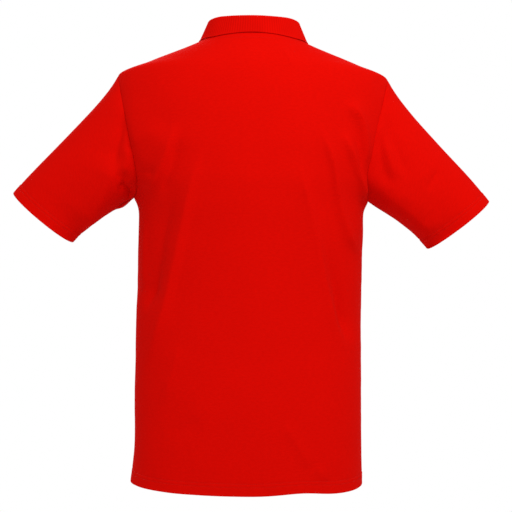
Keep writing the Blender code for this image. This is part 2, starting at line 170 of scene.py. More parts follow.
# Folds in the cloth. Each lies on the back or front side of one or more panels, and follows a
# path of (x, z) places there. height is above 0 for a ridge and below 0 for a trough, crest is
# how round its top is, inner and outer are how far it spreads towards the shirt's middle and
# away from it, and fade_in and fade_out are the shares of the path it rises and dies over.
# Millimetres.
FOLD_COLUMNS = ("panels", "side", "height", "crest", "inner", "outer", "fade_in", "fade_out",
                "path")
FOLDS = (
    # Left side of the back.
    ("back", "back", 8.0, 2.0, 3.5, 24, 0.35, 0.25, (
        (113, -138), (119, -154), (126, -174), (131, -192), (142, -220), (155, -240),
        (169, -253))),
    ("back", "back", 3.5, 3.0, 13, 24, 0.2, 0.5, (
        (193, -172), (169, -163), (148, -153), (129, -142))),
    ("back", "back", -4.0, 3.0, 13, 4, 0.35, 0.3, (
        (109, -161), (117, -185), (124, -209), (134, -235), (145, -260))),
    ("back", "back", -2.5, 2.2, 5, 5, 0.3, 0.3, ((179, -217), (162, -216), (144, -218))),
    ("back", "back", 8.5, 2.4, 9, 18, 0.25, 0.25, (
        (75, -165), (82, -199), (91, -232), (101, -285), (112, -338), (122, -385), (131, -429),
        (143, -471), (159, -513), (173, -536))),
    ("back", "back", -8.5, 8.0, 9, 20, 0.4, 0.14, (
        (110, -229), (128, -276), (139, -319), (145, -359), (153, -398), (159, -427))),
    ("back", "back", -5.0, 3.0, 7, 8, 0.6, 0.25, (
        (140, -351), (147, -379), (155, -408), (164, -440))),
    ("back", "back", -2.0, 3.0, 14, 4, 0.3, 0.3, (
        (77, -239), (87, -282), (98, -325), (106, -369), (117, -416), (129, -463))),
    ("back", "back", 2.5, 2.0, 3, 5, 0.3, 0.3, (
        (169, -285), (170, -338), (171, -378), (170, -415))),
    ("back", "back", 3.0, 2.2, 10, 9, 0.3, 0.4, (
        (105, -480), (115, -521), (127, -559), (136, -588))),
    ("back", "back", -1.5, 5.0, 12, 12, 0.4, 0.4, ((63, -602), (91, -613), (126, -627))),
    ("back", "back", 1.2, 4.0, 10, 10, 0.4, 0.4, ((48, -574), (73, -586), (98, -598))),
    # Right side of the back.
    ("back sleeve_right", "back", 10.0, 2.0, 3.5, 9, 0.25, 0.4, (
        (-138, -106), (-153, -111), (-164, -122), (-171, -138), (-175, -157), (-177, -174),
        (-177, -191), (-177, -213))),
    ("back", "back", -3.5, 2.2, 5, 3, 0.45, 0.3, (
        (-145, -121), (-156, -133), (-163, -149), (-167, -167), (-169, -185), (-169, -207),
        (-172, -229))),
    ("back", "back", 10.0, 2.0, 4, 11, 0.35, 0.15, (
        (-131, -146), (-144, -162), (-155, -186), (-164, -211), (-172, -232), (-180, -255))),
    ("back", "back", 9.5, 2.0, 4.5, 13, 0.3, 0.2, (
        (-102, -139), (-113, -164), (-123, -191), (-129, -222), (-135, -259), (-145, -293),
        (-157, -320), (-176, -344))),
    ("back", "back", 7.0, 2.4, 15, 5, 0.2, 0.25, (
        (-73, -184), (-80, -224), (-89, -259), (-97, -291), (-104, -319), (-111, -353),
        (-119, -387), (-128, -418), (-140, -456), (-157, -497))),
    ("back", "back", -13.0, 4.0, 8, 16, 0.7, 0.25, (
        (-113, -297), (-123, -343), (-136, -390), (-148, -437), (-164, -486))),
    ("back", "back", -1.5, 3.0, 5, 5, 0.3, 0.3, ((-194, -57), (-203, -71), (-210, -86))),
    ("back", "back", 2.5, 2.2, 5, 8, 0.3, 0.2, ((-52, -600), (-73, -628), (-100, -675))),
    ("back", "back", 2.5, 3.0, 6, 6, 0.3, 0.3, ((-102, -672), (-115, -681), (-129, -694))),
    ("back", "back", 1.5, 2.2, 4, 5, 0.3, 0.3, ((-43, -16), (-54, -33), (-67, -52))),
    # The middle of the back.
    ("back", "back", 4.0, 18.0, 34, 34, 0.3, 0.3, ((7, -152), (4, -259), (0, -382), (3, -521))),
    # The front, much as the back.
    ("front", "front", 6.5, 2.2, 9, 14, 0.3, 0.3, (
        (96, -190), (108, -260), (124, -340), (148, -420), (170, -480))),
    ("front", "front", -6.0, 4.0, 9, 10, 0.3, 0.15, (
        (124, -320), (138, -370), (150, -420), (160, -465))),
    ("front", "front", -4.0, 2.2, 6, 6, 0.3, 0.2, (
        (148, -140), (164, -170), (170, -200), (172, -240))),
    ("front", "front", 4.5, 2.2, 8, 12, 0.3, 0.3, (
        (98, -150), (118, -178), (134, -208), (152, -238))),
    ("front", "front", 4.5, 2.2, 7, 11, 0.3, 0.3, (
        (-112, -165), (-126, -215), (-146, -275), (-174, -335))),
    ("front", "front", -4.0, 2.2, 6, 6, 0.3, 0.2, (
        (-150, -150), (-164, -180), (-170, -210), (-174, -244))),
    ("front", "front", 6.5, 2.5, 13, 9, 0.3, 0.3, (
        (-68, -250), (-82, -330), (-104, -420), (-128, -510), (-150, -585))),
    ("front", "front", -6.5, 3.0, 9, 9, 0.3, 0.2, (
        (-116, -345), (-130, -400), (-144, -460), (-160, -525))),
    ("front", "front", 2.0, 4.0, 14, 16, 0.4, 0.4, (
        (60, -440), (72, -520), (92, -600), (110, -650))),
    # The left sleeve.
    ("sleeve_left", "back", -7.0, 3.0, 5, 12, 0.35, 0.35, (
        (204, -113), (205, -142), (210, -172), (216, -201), (222, -226))),
    ("sleeve_left", "back", 3.5, 2.2, 5, 5, 0.3, 0.2, ((195, -173), (198, -199), (201, -220))),
    ("sleeve_left", "back", -3.0, 2.2, 4, 4, 0.25, 0.25, ((215, -223), (202, -224), (190, -227))),
    ("sleeve_left", "back", -9.0, 3.0, 7, 7, 0.3, 0.1, ((212, -234), (199, -240), (186, -251))),
    ("sleeve_left", "back", 9.0, 4.0, 10, 30, 0.3, 0.25, (
        (213, -180), (225, -229), (235, -249), (245, -268), (260, -289), (279, -312))),
    ("sleeve_left", "front", -4.5, 3.0, 7, 9, 0.3, 0.2, ((196, -140), (206, -185), (222, -230))),
    ("sleeve_left", "front", 4.0, 4.0, 10, 14, 0.3, 0.3, (
        (222, -130), (238, -175), (262, -220), (290, -262))),
    # The right sleeve.
    ("sleeve_right", "back", -5.0, 4.0, 6, 8, 0.3, 0.25, (
        (-205, -141), (-203, -170), (-208, -202), (-223, -236))),
    ("sleeve_right", "back", -5.5, 4.0, 6, 12, 0.3, 0.3, (
        (-214, -109), (-220, -147), (-231, -176), (-241, -199), (-253, -225))),
    ("sleeve_right", "back", 2.5, 3.0, 6, 6, 0.3, 0.3, (
        (-210, -154), (-219, -189), (-231, -224))),
    ("sleeve_right", "back", -2.5, 2.2, 5, 5, 0.3, 0.3, (
        (-299, -200), (-289, -218), (-279, -239))),
    ("sleeve_right", "back", 4.0, 6, 16, 30, 0.3, 0.25, (
        (-227, -224), (-247, -246), (-269, -258), (-287, -272), (-299, -291), (-304, -311))),
    ("sleeve_right", "front", -4.5, 3.0, 8, 9, 0.3, 0.2, (
        (-194, -150), (-206, -195), (-224, -238))),
    ("sleeve_right", "front", 4.0, 4.0, 11, 13, 0.3, 0.3, (
        (-220, -120), (-240, -170), (-266, -218), (-296, -258))),
)
# How finely a fold's path is drawn, how gently folds die out at the shirt's sides, and how many
# of its own widths a fold reaches.
PATH_STEP = 5 * MM
FEWEST_STEPS = 8
SIDE_BLEND = 12 * MM
FADED = 5

# Gentle swells all over the cloth: the height of each, its spacing round the shirt, that
# spacing as a share of the one up the shirt, and its seed. A pattern is moved by NOISE_SHIFT
# times its seed.
SWELLS = ((0.7 * MM, 60 * MM, 0.35, 3), (0.10 * MM, 19 * MM, 0.6, 4))
NOISE_SHIFT = (17.3, 5.1, 9.7)

# The cloth beside a seam: how wide the groove is, how far off it swells most, how high it
# rises there, and the height, spacing and seed of its unevenness.
SEAM_WIDTH = 0.9 * MM
SEAM_SWELL = 4 * MM
ARMHOLE_RISE = 0.2 * MM
SIDE_RISE = 0.3 * MM
SEAM_UNEVEN = (0.35 * MM, 14 * MM, 5)

# The dents of a row of stitching, as depth and half width. At a hem the cloth also puckers
# beside its two rows and waves along its edge, each with a height and a reach.
HEM_DENT = (0.45 * MM, 1.0 * MM)
NECK_DENT = (0.4 * MM, 0.9 * MM)
PLACKET_DENT = (0.5 * MM, 0.8 * MM)
HEM_SEED = 7
PUCKER_SPACING = 7.5 * MM
PUCKERS = ((0.55 * MM, 6 * MM), (0.30 * MM, 9 * MM))
WAVE_SPACING = 48 * MM
WAVE = (2.2 * MM, 26 * MM)

# How high the cloth stands over a turned hem and over the neck's allowance, and how wide the
# slope up to it is. Then how far the hem's second layer runs past its stitching, and how wide
# the step in the shell's wall is there.
HEM_RISE = 0.5 * MM
HEM_RISE_WIDTH = 2 * MM
NECK_RISE = 0.45 * MM
NECK_RISE_WIDTH = 1.6 * MM
TURNED_PAST = 1.5 * MM
TURNED_EDGE = 1.2 * MM

# How round the cut edges are at a seam and at a hem, and the most of a wall this may take.
SEAM_ROUNDING = 0.35 * MM
HEM_ROUNDING = 0.9 * MM
ROUNDING_SHARE = 0.48

# How a side vent's opening widens towards the hem, and how far from the seam it moves the cloth.
VENT_CURVE = 1.3
VENT_REACH = 12 * MM

# Thread lies this far above the cloth, and its stitches this far apart. A stitch's height is a
# share of its width, and a buttonhole's stitches have their own pitch, length and width.
THREAD_LIFT = 0.05 * MM
STITCH_GAP = 0.35 * MM
STITCH_HEIGHT = 0.9
BUTTONHOLE_STITCH = (0.4 * MM, 0.42 * MM, 1.25 * MM)
BUTTONHOLE_HALF = 0.85 * MM
BUTTONHOLE_PLACES = 9
BAR_HALF = 1.5 * MM
BAR_PLACES = 4
PLACKET_ROUNDING = 0.6 * MM
PLACKET_GAP = 0.3 * MM

# How the grids are spaced: lines this far in from every cut edge, then even ones. The
# placket's edge stitching runs along the one numbered PLACKET_SEAM, counted from 0.
EDGE_LINES = np.array((0.0, 0.3, 0.9, 2.0, 3.6)) * MM
NO_LINES = np.zeros(1)
PLACKET_SEAM = 3
ROW_STEP = 5.4 * MM
HEM_STEP = 1.2 * MM
HEM_FINE = 24 * MM
HEM_LINES = np.union1d(np.arange(0, HEM_FINE, HEM_STEP), EDGE_LINES)
BACK_COLUMNS = 110
FRONT_COLUMNS = 90
SLOT_COLUMNS = 5
SLEEVE_ROWS = 80
COLLAR_HALF_COLUMNS = 300
COLLAR_ROWS = 40
STAND_STEPS = 40
FOLD_STEPS = 24
FALL_STEPS = 60
CURVE_SAMPLES = 1500
SLEEVE_SAMPLES = 120

# Points in the SAME_PLACE are sewn together, an edge of the SAME_WIDTH as its ring isn't cut,
# nothing is divided by less than NO_LENGTH, and FAR_OFF is farther than any edge.
SAME_PLACE = 1e-6
SAME_WIDTH = 1e-9
NO_LENGTH = 1e-12
FAR_OFF = 1.0
OTHER_SIDE = np.array([-1.0, 1.0, 1.0])   # turns a point on one side into its mirror image

# Half of a button's outline, from the edge of its back to the middle of its dished front: how
# far out each place is, as a share of its radius, and how high, as a share of its thickness.
BUTTON_PROFILE = (
    (0.82, 0.00), (0.90, 0.03), (0.95, 0.10), (0.985, 0.22), (1.0, 0.38), (1.0, 0.58),
    (0.985, 0.74), (0.95, 0.87), (0.90, 0.96), (0.84, 1.00), (0.78, 0.985), (0.73, 0.93),
    (0.69, 0.84), (0.64, 0.76), (0.58, 0.71), (0.50, 0.69),
)
BUTTON_SEGMENTS = 72
HOLE_PLACE = 1.3 * MM
HOLE_RADIUS = 0.8 * MM
HOLE_SEGMENTS = 24
DRILL_LENGTH = 4
SHARP_ANGLE = math.radians(40)
# The threads through a button: how they lie side by side, how thick they are, how far below
# the dish they turn down, and how high they arch between two holes.
STRANDS = (-0.3 * MM, 0.0, 0.3 * MM)
STRAND_RADIUS = 0.17 * MM
STRAND_SUNK = 0.22 * MM
STRAND_ARCH = 0.42 * MM
STRAND_PLACES = 13

# The knits: cells and streaks to the metre across and along the cloth, a rib's own columns and
# rows of stitches, and how deep their relief is. CLOUD_RANGE is what a noise mostly lies in.
PIQUE_CELLS = (830, 660)
STREAK_CELLS = (150, 340)
RIB_WALES = 2
RIB_COURSES = 900
KNIT_DEPTH = 0.25 * MM
PLY_DEPTH = 0.1 * MM
CLOUD_RANGE = (0.3, 0.7)
COTTON = {"Specular IOR Level": 0.02, "Sheen Weight": 0.08, "Sheen Roughness": 0.5,
          "Sheen Tint": (1.0, 0.02, 0.01, 1.0)}

# The lamps, each with its angle round from the camera towards the picture's right, its angle
# above level and its power.
LAMPS = (("key", 20, 42, 17.2), ("front", 195, 35, 12.5))
LAMP_SIZE = 0.9
LAMP_DISTANCE = 1.8
LAMP_AIM = Vector((0, 0, -0.25))
WORLD_LIGHT = 0.65

# The camera stands behind the shirt and rolls as the shirt leans. Its lens and sensor are in
# millimetres, and places are in metres, as the floor's are.
CAMERA_PLACE = (-0.0097, 2.3, -0.345)
CAMERA_ROLL = math.radians(0.95)
CAMERA_LENS = 99.8
CAMERA_SENSOR = 36
CAMERA_REACH = 50
FLOOR_RADIUS = 2.2
FLOOR_HEIGHT = -1.3
FLOOR_SEGMENTS = 96
FLOOR_COLOUR = (0.86, 0.86, 0.86, 1)

SLOT_COLOUR = {item["slot"]: item["base_color"] for item in frame["record"]["materials"]}
SKINS = {}


class PoloSizes(bpy.types.PropertyGroup):
    """The cloth and its sewing."""

    cloth: bpy.props.FloatProperty(
        name="Cloth", description="Thickness of the knit with its seam allowances",
        default=1.4 * MM, min=0.5 * MM, max=3 * MM, precision=5, unit="LENGTH")
    hem_wall: bpy.props.FloatProperty(
        name="Turned hem", description="Thickness of the cloth where a hem is turned up",
        default=2.3 * MM, min=0.5 * MM, max=4 * MM, precision=5, unit="LENGTH")
    groove: bpy.props.FloatProperty(
        name="Seam groove", description="How deep the cloth dips at a seam",
        default=0.35 * MM, min=0.0, max=2 * MM, precision=5, unit="LENGTH")
    hem_line: bpy.props.FloatProperty(
        name="Hem stitching", description="Distance of the outer hem stitching from the edge",
        default=14 * MM, min=5 * MM, max=40 * MM, precision=5, unit="LENGTH")
    needle_gap: bpy.props.FloatProperty(
        name="Needle gap", description="Distance between the two rows of a twin-needle hem",
        default=5.5 * MM, min=2 * MM, max=10 * MM, precision=5, unit="LENGTH")
    neck_line: bpy.props.FloatProperty(
        name="Neck stitching", description="Distance of the neck's topstitching from its seam",
        default=13.5 * MM, min=5 * MM, max=30 * MM, precision=5, unit="LENGTH")
    vent: bpy.props.FloatProperty(
        name="Side vent", description="Height of the slit at the foot of each side seam",
        default=24 * MM, min=5 * MM, max=60 * MM, precision=5, unit="LENGTH")
    gape: bpy.props.FloatProperty(
        name="Vent gape", description="How far each side of a vent stands from the seam",
        default=2.5 * MM, min=0.0, max=8 * MM, precision=5, unit="LENGTH")
    stitch: bpy.props.FloatProperty(
        name="Stitch", description="Length of one lockstitch",
        default=2.9 * MM, min=1 * MM, max=6 * MM, precision=5, unit="LENGTH")
    thread: bpy.props.FloatProperty(
        name="Thread", description="Width of the sewing thread",
        default=0.55 * MM, min=0.2 * MM, max=1.5 * MM, precision=5, unit="LENGTH")
    placket_stand: bpy.props.FloatProperty(
        name="Placket rise", description="How far the top placket stands above the front",
        default=0.45 * MM, min=0.1 * MM, max=1 * MM, precision=5, unit="LENGTH")
    placket_wall: bpy.props.FloatProperty(
        name="Placket", description="Thickness of a folded placket strip",
        default=1.5 * MM, min=0.8 * MM, max=2.5 * MM, precision=5, unit="LENGTH")
    placket_box: bpy.props.FloatProperty(
        name="Placket box", description="Height of the stitched box at the placket's foot",
        default=20 * MM, min=8 * MM, max=40 * MM, precision=5, unit="LENGTH")
    buttonhole: bpy.props.FloatProperty(
        name="Buttonhole", description="Length of an upright buttonhole",
        default=15 * MM, min=12.5 * MM, max=24 * MM, precision=5, unit="LENGTH")
    button_across: bpy.props.FloatProperty(
        name="Button", description="Diameter of a button",
        default=11.5 * MM, min=8 * MM, max=15 * MM, precision=5, unit="LENGTH")
    button_thick: bpy.props.FloatProperty(
        name="Button thickness", description="Thickness of a button at its rim",
        default=2.6 * MM, min=1.5 * MM, max=4 * MM, precision=5, unit="LENGTH")
    button_gap: bpy.props.FloatProperty(
        name="Button gap", description="Room for the thread between a button and the placket",
        default=0.3 * MM, min=0.1 * MM, max=2 * MM, precision=5, unit="LENGTH")
    rib_wall: bpy.props.FloatProperty(
        name="Collar", description="Mean thickness of the ribbed collar",
        default=1.6 * MM, min=1 * MM, max=4 * MM, precision=5, unit="LENGTH")
    rib_pitch: bpy.props.FloatProperty(
        name="Rib pitch", description="Distance from one collar rib to the next",
        default=4.2 * MM, min=1 * MM, max=10 * MM, precision=5, unit="LENGTH")
    rib_depth: bpy.props.FloatProperty(
        name="Rib depth", description="Height of a collar rib above its valleys",
        default=0.5 * MM, min=0.0, max=1.5 * MM, precision=5, unit="LENGTH")


class PoloColours(bpy.types.PropertyGroup):
    """What the shirt is dyed."""

    knit: bpy.props.FloatVectorProperty(
        name="Knit", description="Colour of the panels, sleeves and placket",
        default=(0.70, 0.0024, 0.0004), subtype="COLOR", min=0.0, max=1.0)
    rib: bpy.props.FloatVectorProperty(
        name="Rib", description="Colour of the ribbed collar",
        default=(0.70, 0.0026, 0.0006), subtype="COLOR", min=0.0, max=1.0)
    thread: bpy.props.FloatVectorProperty(
        name="Thread", description="Colour of the sewing thread",
        default=(0.68, 0.004, 0.001), subtype="COLOR", min=0.0, max=1.0)
    button: bpy.props.FloatVectorProperty(
        name="Button", description="Colour of the buttons",
        default=SLOT_COLOUR["button"], subtype="COLOR", min=0.0, max=1.0)


def hermite(start, end, leave, arrive, t):
    """The way from start to end, at t from 0 to 1, with these slopes at its two ends."""
    return (start * (1 + 2 * t) * (1 - t) ** 2 + leave * t * (1 - t) ** 2
            + end * t * t * (3 - 2 * t) - arrive * t * t * (1 - t))


def smooth_column(knots, values, at):
    """Read a table's column at any place, smoothly and without overshooting its values."""
    knots, values = np.asarray(knots), np.asarray(values)
    steps = np.diff(knots)
    rises = np.diff(values) / steps
    slopes = np.zeros(len(knots))
    slopes[0], slopes[-1] = rises[0], rises[-1]
    for i in range(1, len(knots) - 1):
        if rises[i - 1] * rises[i] > 0:
            slopes[i] = 2 * rises[i - 1] * rises[i] / (rises[i - 1] + rises[i])
    cell = np.clip(np.searchsorted(knots, at, side="right") - 1, 0, len(steps) - 1)
    step = steps[cell]
    return hermite(values[cell], values[cell + 1], step * slopes[cell],
                   step * slopes[cell + 1], (at - knots[cell]) / step)


def smooth_step(value, low, high):
    """0 below low, 1 above high, and a soft rise between them."""
    t = np.clip((value - low) / (high - low), 0, 1)
    return t * t * (3 - 2 * t)


def spaced(start, end, count, near_start=EDGE_LINES, near_end=EDGE_LINES):
    """Places from start to end: close ones at its ends, and count even steps between."""
    first, last = start + near_start, end - near_end[::-1]
    return np.concatenate((first, np.linspace(first[-1], last[0], count + 1)[1:-1], last))


def lengths(points):
    """How far along a line of points each one lies."""
    return np.concatenate(([0.0], np.cumsum(np.linalg.norm(np.diff(points, axis=0), axis=1))))


def length_share(points):
    """How far along a line of points each one lies, from 0 to 1."""
    length = lengths(points)
    return length / length[-1]


def arcs(points, axis):
    """How far along its grid line each point lies from the line's first point."""
    steps = np.linalg.norm(np.diff(points, axis=axis), axis=2)
    return np.insert(np.cumsum(steps, axis=axis), 0, 0.0, axis=axis)


def read_at(at, knots, points):
    """Points on a line at these places, where each of its own points has its knot."""
    return np.column_stack([np.interp(at, knots, points[:, k]) for k in range(3)])


def read_curve(curve, at):
    """Points on a line at the given distances along it."""
    return read_at(at, lengths(curve), curve)


def ring_table():
    """The rings as one dictionary of columns, in metres, with the knots that place them."""
    table = {name: [row[i] for row in RINGS] for i, name in enumerate(RING_COLUMNS)}
    for edge in ("back_x", "front_x"):
        table[edge] = [half if x is None else x for x, half in zip(table[edge], table["half"])]
    for name in RING_COLUMNS[1:]:
        if name not in RING_SHAPES:
            table[name] = np.array(table[name]) * MM
    spans = np.hypot(np.diff(table["side_z"]), np.diff(table["half"]))
    table["knot"] = np.concatenate(([0.0], np.cumsum(spans)))
    return table


def ring_rows(table):
    """Every grid row's own ring, and the row that each named ring is."""
    knot = dict(zip(table["name"], table["knot"]))
    spans = (("hem", "armpit", HEM_LINES, NO_LINES),
             ("armpit", PLACKET_BOTTOM, EDGE_LINES, EDGE_LINES),
             (PLACKET_BOTTOM, "tip", EDGE_LINES, EDGE_LINES),
             ("tip", "neck", NO_LINES, EDGE_LINES))
    places = np.array([0.0])
    row_of = {"hem": 0}
    for start, end, near_start, near_end in spans:
        count = round((knot[end] - knot[start]) / ROW_STEP)
        places = np.concatenate((places, spaced(knot[start], knot[end], count, near_start,
                                                near_end)[1:]))
        row_of[end] = len(places) - 1
    names = RING_COLUMNS[1:]
    read = {name: smooth_column(table["knot"], table[name], places) for name in names}
    return [{name: read[name][i] for name in names} for i in range(len(places))], row_of


def half_ring(ring, side):
    """Points along one half of a ring, from its seam on the +X side to the centre."""
    sign = 1 if side == "back" else -1
    angle = np.linspace(0, math.pi / 2, CURVE_SAMPLES)
    x = ring["half"] * np.cos(angle) ** (2 / ring["flat"])
    depth = np.clip(1 - (x / ring["half"]) ** ring["flat"], 0, 1) ** (1 / ring["turn"])
    edge = ring[side + "_x"]
    if edge < ring["half"] - SAME_WIDTH:
        edge_depth = (1 - (edge / ring["half"]) ** ring["flat"]) ** (1 / ring["turn"])
        keep = x < edge
        x = np.concatenate(([edge], x[keep]))
        depth = np.concatenate(([edge_depth], depth[keep]))
    z = ring["side_z"] + (ring[side + "_z"] - ring["side_z"]) * depth
    return np.column_stack((x, sign * ring[side + "_y"] * depth, z))


def vent_shift(points, sizes, sign):
    """Move a panel's side edges away from the seam, along the slits at their feet."""
    opening = np.clip(1 - arcs(points, 0) / sizes.vent, 0, 1) ** VENT_CURVE
    across = arcs(points, 1)
    side_gap = np.minimum(across, across[:, -1:] - across)
    points[:, :, 1] += sign * sizes.gape * opening * np.exp(-side_gap / VENT_REACH)


def back_grid(rings):
    """The back panel's points, row by row, from the +X side seam to the -X one."""
    rows = []
    for ring in rings:
        curve = half_ring(ring, "back")
        half = read_curve(curve, spaced(0, lengths(curve)[-1], BACK_COLUMNS, near_end=NO_LINES))
        rows.append(np.vstack((half, half[-2::-1] * OTHER_SIDE)))
    return np.array(rows)


def front_grid(rings):
    """The front's points, from the -X side seam to the +X one, with the slot in the middle."""
    rows = []
    for ring in rings:
        curve = half_ring(ring, "front")
        length = lengths(curve)
        slot = np.interp(-PLACKET_WIDTH / 2, -curve[:, 0], length)
        side = read_curve(curve, spaced(0, slot, FRONT_COLUMNS))
        strip = read_curve(curve, spaced(slot, length[-1], SLOT_COLUMNS, near_end=NO_LINES))
        half = np.vstack((side, strip[1:]))
        rows.append(np.vstack((half * OTHER_SIDE, half[-2::-1])))
    return np.array(rows)


def sleeve_grid(back, front, row_of):
    """The +X sleeve's points, ring by ring from the armhole to the cuff."""
    low, high = row_of["armpit"], row_of["tip"]
    up = back[low:high + 1, 0]
    down = front[low:high, -1][::-1]
    armhole = np.vstack((up, down))
    top, under = (np.array([x * MM, -CUFF_FORWARD * MM, z * MM])
                  for x, z in (CUFF_TOP, CUFF_UNDERARM))
    centre, long_axis = (top + under) / 2, (top - under) / 2
    outward = np.array([long_axis[2], 0.0, -long_axis[0]]) / np.linalg.norm(long_axis)
    deep_axis = outward * CUFF_TURN * MM + np.array([0.0, CUFF_DEPTH / 2 * MM, 0.0])
    down_share = length_share(np.vstack((up[-1:], down)))[1:]
    angle = math.pi * np.concatenate((length_share(up), 1 + down_share))
    cuff = centre - np.outer(np.cos(angle), long_axis) + np.outer(np.sin(angle), deep_axis)
    height = (armhole[:, 2] - up[0, 2]) / (up[-1, 2] - up[0, 2])
    drop = np.radians(UNDERARM_DROP + (TOP_DROP - UNDERARM_DROP) * height)
    leave = np.column_stack((np.cos(drop), LEAVE_DEPTH * np.sin(angle), -np.sin(drop)))
    reach = np.linalg.norm(cuff - armhole, axis=1)[:, None]
    curves = np.array([hermite(armhole, cuff, START_PULL * reach * leave,
                               END_PULL * reach * outward, t)
                       for t in np.linspace(0, 1, SLEEVE_SAMPLES + 1)])
    columns = [read_curve(curves[:, i], spaced(0, end, SLEEVE_ROWS, near_end=HEM_LINES))
               for i, end in enumerate(arcs(curves, 0)[-1])]
    grid = np.stack(columns, axis=1)
    grid[0] = armhole
    return np.concatenate((grid, grid[:, :1]), axis=1)


def grid_quads(rows, columns, first=0):
    """The faces of a grid of points, as point numbers, so that column x row is outwards."""
    index = first + np.arange(rows * columns).reshape(rows, columns)
    corners = (index[:-1, :-1], index[:-1, 1:], index[1:, 1:], index[1:, :-1])
    return np.stack(corners, axis=-1)


def sewn_normals(points, quads, sewn):
    """The direction out of the cloth at each point, shared by points that are sewn together."""
    a, b, c, d = (points[quads[:, k]] for k in range(4))
    facing = np.cross(c - a, d - b)
    total = np.zeros((sewn.max() + 1, 3))
    for k in range(4):
        np.add.at(total, sewn[quads[:, k]], facing)
    total /= np.maximum(np.linalg.norm(total, axis=1), NO_LENGTH)[:, None]
    return total[sewn]


def even_out(values, sewn):
    """The values of points, with those that are sewn together given their mean."""
    return (np.bincount(sewn, values) / np.bincount(sewn))[sewn]


def nearest(points, targets):
    """The place of the nearest target to each point, and how far off it is."""
    tree = KDTree(len(targets))
    for i, target in enumerate(targets):
        tree.insert(target, i)
    tree.balance()
    found = [tree.find(point) for point in points]
    index = np.array([item[1] for item in found])
    return np.asarray(targets)[index], np.array([item[2] for item in found])


def uneven(points, spacing, seed):
    """Smooth random heights between about -1 and 1, with the given spacing in space."""
    shift = Vector([seed * part for part in NOISE_SHIFT])
    return np.array([noise.noise(Vector(place) + shift) for place in points / spacing])


def fold_path(places):
    """A smooth path through the fold's places, as points a few millimetres apart."""
    knots = lengths(places)
    at = np.linspace(0, knots[-1], max(FEWEST_STEPS, int(knots[-1] / PATH_STEP)))
    beyond = np.vstack((2 * places[0] - places[1], places, 2 * places[-1] - places[-2]))
    spans = np.concatenate(([-knots[1]], knots, [2 * knots[-1] - knots[-2]]))
    slopes = (beyond[2:] - beyond[:-2]) / (spans[2:] - spans[:-2])[:, None]
    cell = np.clip(np.searchsorted(knots, at, side="right") - 1, 0, len(knots) - 2)
    width = (knots[cell + 1] - knots[cell])[:, None]
    t = (at - knots[cell])[:, None] / width
    return hermite(places[cell], places[cell + 1], slopes[cell] * width,
                   slopes[cell + 1] * width, t)


def to_path(places, path):
    """Each place's nearest point on a path, its distance, and how far along the path it is."""
    steps = np.diff(path, axis=0)
    away = places[:, None] - path[None, :-1]
    part = np.clip(np.einsum("ijk,jk->ij", away, steps) / np.sum(steps ** 2, axis=1), 0, 1)
    gaps = np.linalg.norm(away - part[..., None] * steps, axis=2)
    at = gaps.argmin(axis=1)
    rows = np.arange(len(places))
    found = path[at] + part[rows, at][:, None] * steps[at]
    return found, gaps[rows, at], (at + part[rows, at]) / len(steps)


def fold_offset(points, panel):
    """How far the folds move each point of a panel outwards."""
    offset = np.zeros(len(points))
    seen = points[:, [0, 2]]
    for row in FOLDS:
        fold = dict(zip(FOLD_COLUMNS, row))
        if panel not in fold["panels"].split():
            continue
        path = fold_path(np.array(fold["path"], dtype=float) * MM)
        reach = (fold["crest"] + FADED * max(fold["inner"], fold["outer"])) * MM
        depth = points[:, 1] if fold["side"] == "back" else -points[:, 1]
        close = np.all((seen > path.min(axis=0) - reach) & (seen < path.max(axis=0) + reach),
                       axis=1) & (depth > 0)
        found, gap, share = to_path(seen[close], path)
        inside = np.abs(seen[close, 0]) < np.abs(found[:, 0])
        width = np.where(inside, fold["inner"], fold["outer"]) * MM
        crest = fold["crest"] * MM
        profile = np.exp(-(np.hypot(gap, crest) - crest) / width)
        fade = (smooth_step(share, 0, fold["fade_in"])
                * smooth_step(1 - share, 0, fold["fade_out"]))
        facing = np.clip(depth[close] / SIDE_BLEND, 0, 1)
        offset[close] += fold["height"] * MM * profile * fade * facing
    return offset


class Cloth:
    """One panel as a grid: its points, which way is out, its relief and where its edges are."""

    def __init__(self, name, points, hem_row=0):
        """Measure a panel whose hem is its first row, 0, or its last one, -1."""
        self.name = name
        self.points = points
        self.outward = None
        self.across, along = arcs(points, 1), arcs(points, 0)
        self.hem_gap = np.abs(along - along[hem_row])
        self.top_gap = np.abs(along - along[-1 - hem_row])
        middle = points.shape[1] // 2
        self.flat = np.stack((self.across - self.across[:, middle:middle + 1], along), axis=-1)
        self.relief = np.zeros(points.shape[:2])
        self.kept = np.ones((points.shape[0] - 1, points.shape[1] - 1), dtype=bool)


def stitch_grooves(gap, lines, depth, width):
    """The dents that rows of stitching pull into the cloth, this far from an edge."""
    return -depth * sum(np.exp(-((gap - line) / width) ** 2) for line in lines)


def hem_rows(sizes):
    """How far in from a hem's edge its two rows of stitching lie."""
    return sizes.hem_line, sizes.hem_line + sizes.needle_gap


def hem_relief(gap, edge_points, sizes):
    """How a turned and twin-stitched hem puffs, puckers and waves."""
    rows = hem_rows(sizes)
    relief = stitch_grooves(gap, rows, *HEM_DENT)
    pucker = uneven(edge_points, PUCKER_SPACING, HEM_SEED)[None, :]
    for line, (height, reach) in zip(rows, PUCKERS):
        relief += height * pucker * np.exp(-((gap - line) / reach) ** 2)
    height, reach = WAVE
    wave = uneven(edge_points, WAVE_SPACING, HEM_SEED + 1)[None, :]
    relief += height * wave * np.exp(-(gap / reach) ** 2)
    relief += HEM_RISE * smooth_step(rows[1] - gap, 0, HEM_RISE_WIDTH)
    return relief


def neck_relief(gap, sizes):
    """How the cloth stands up over the neck's allowance, and dips at its topstitching."""
    return (NECK_RISE * smooth_step(sizes.neck_line - gap, 0, NECK_RISE_WIDTH)
            + stitch_grooves(gap, (sizes.neck_line,), *NECK_DENT))


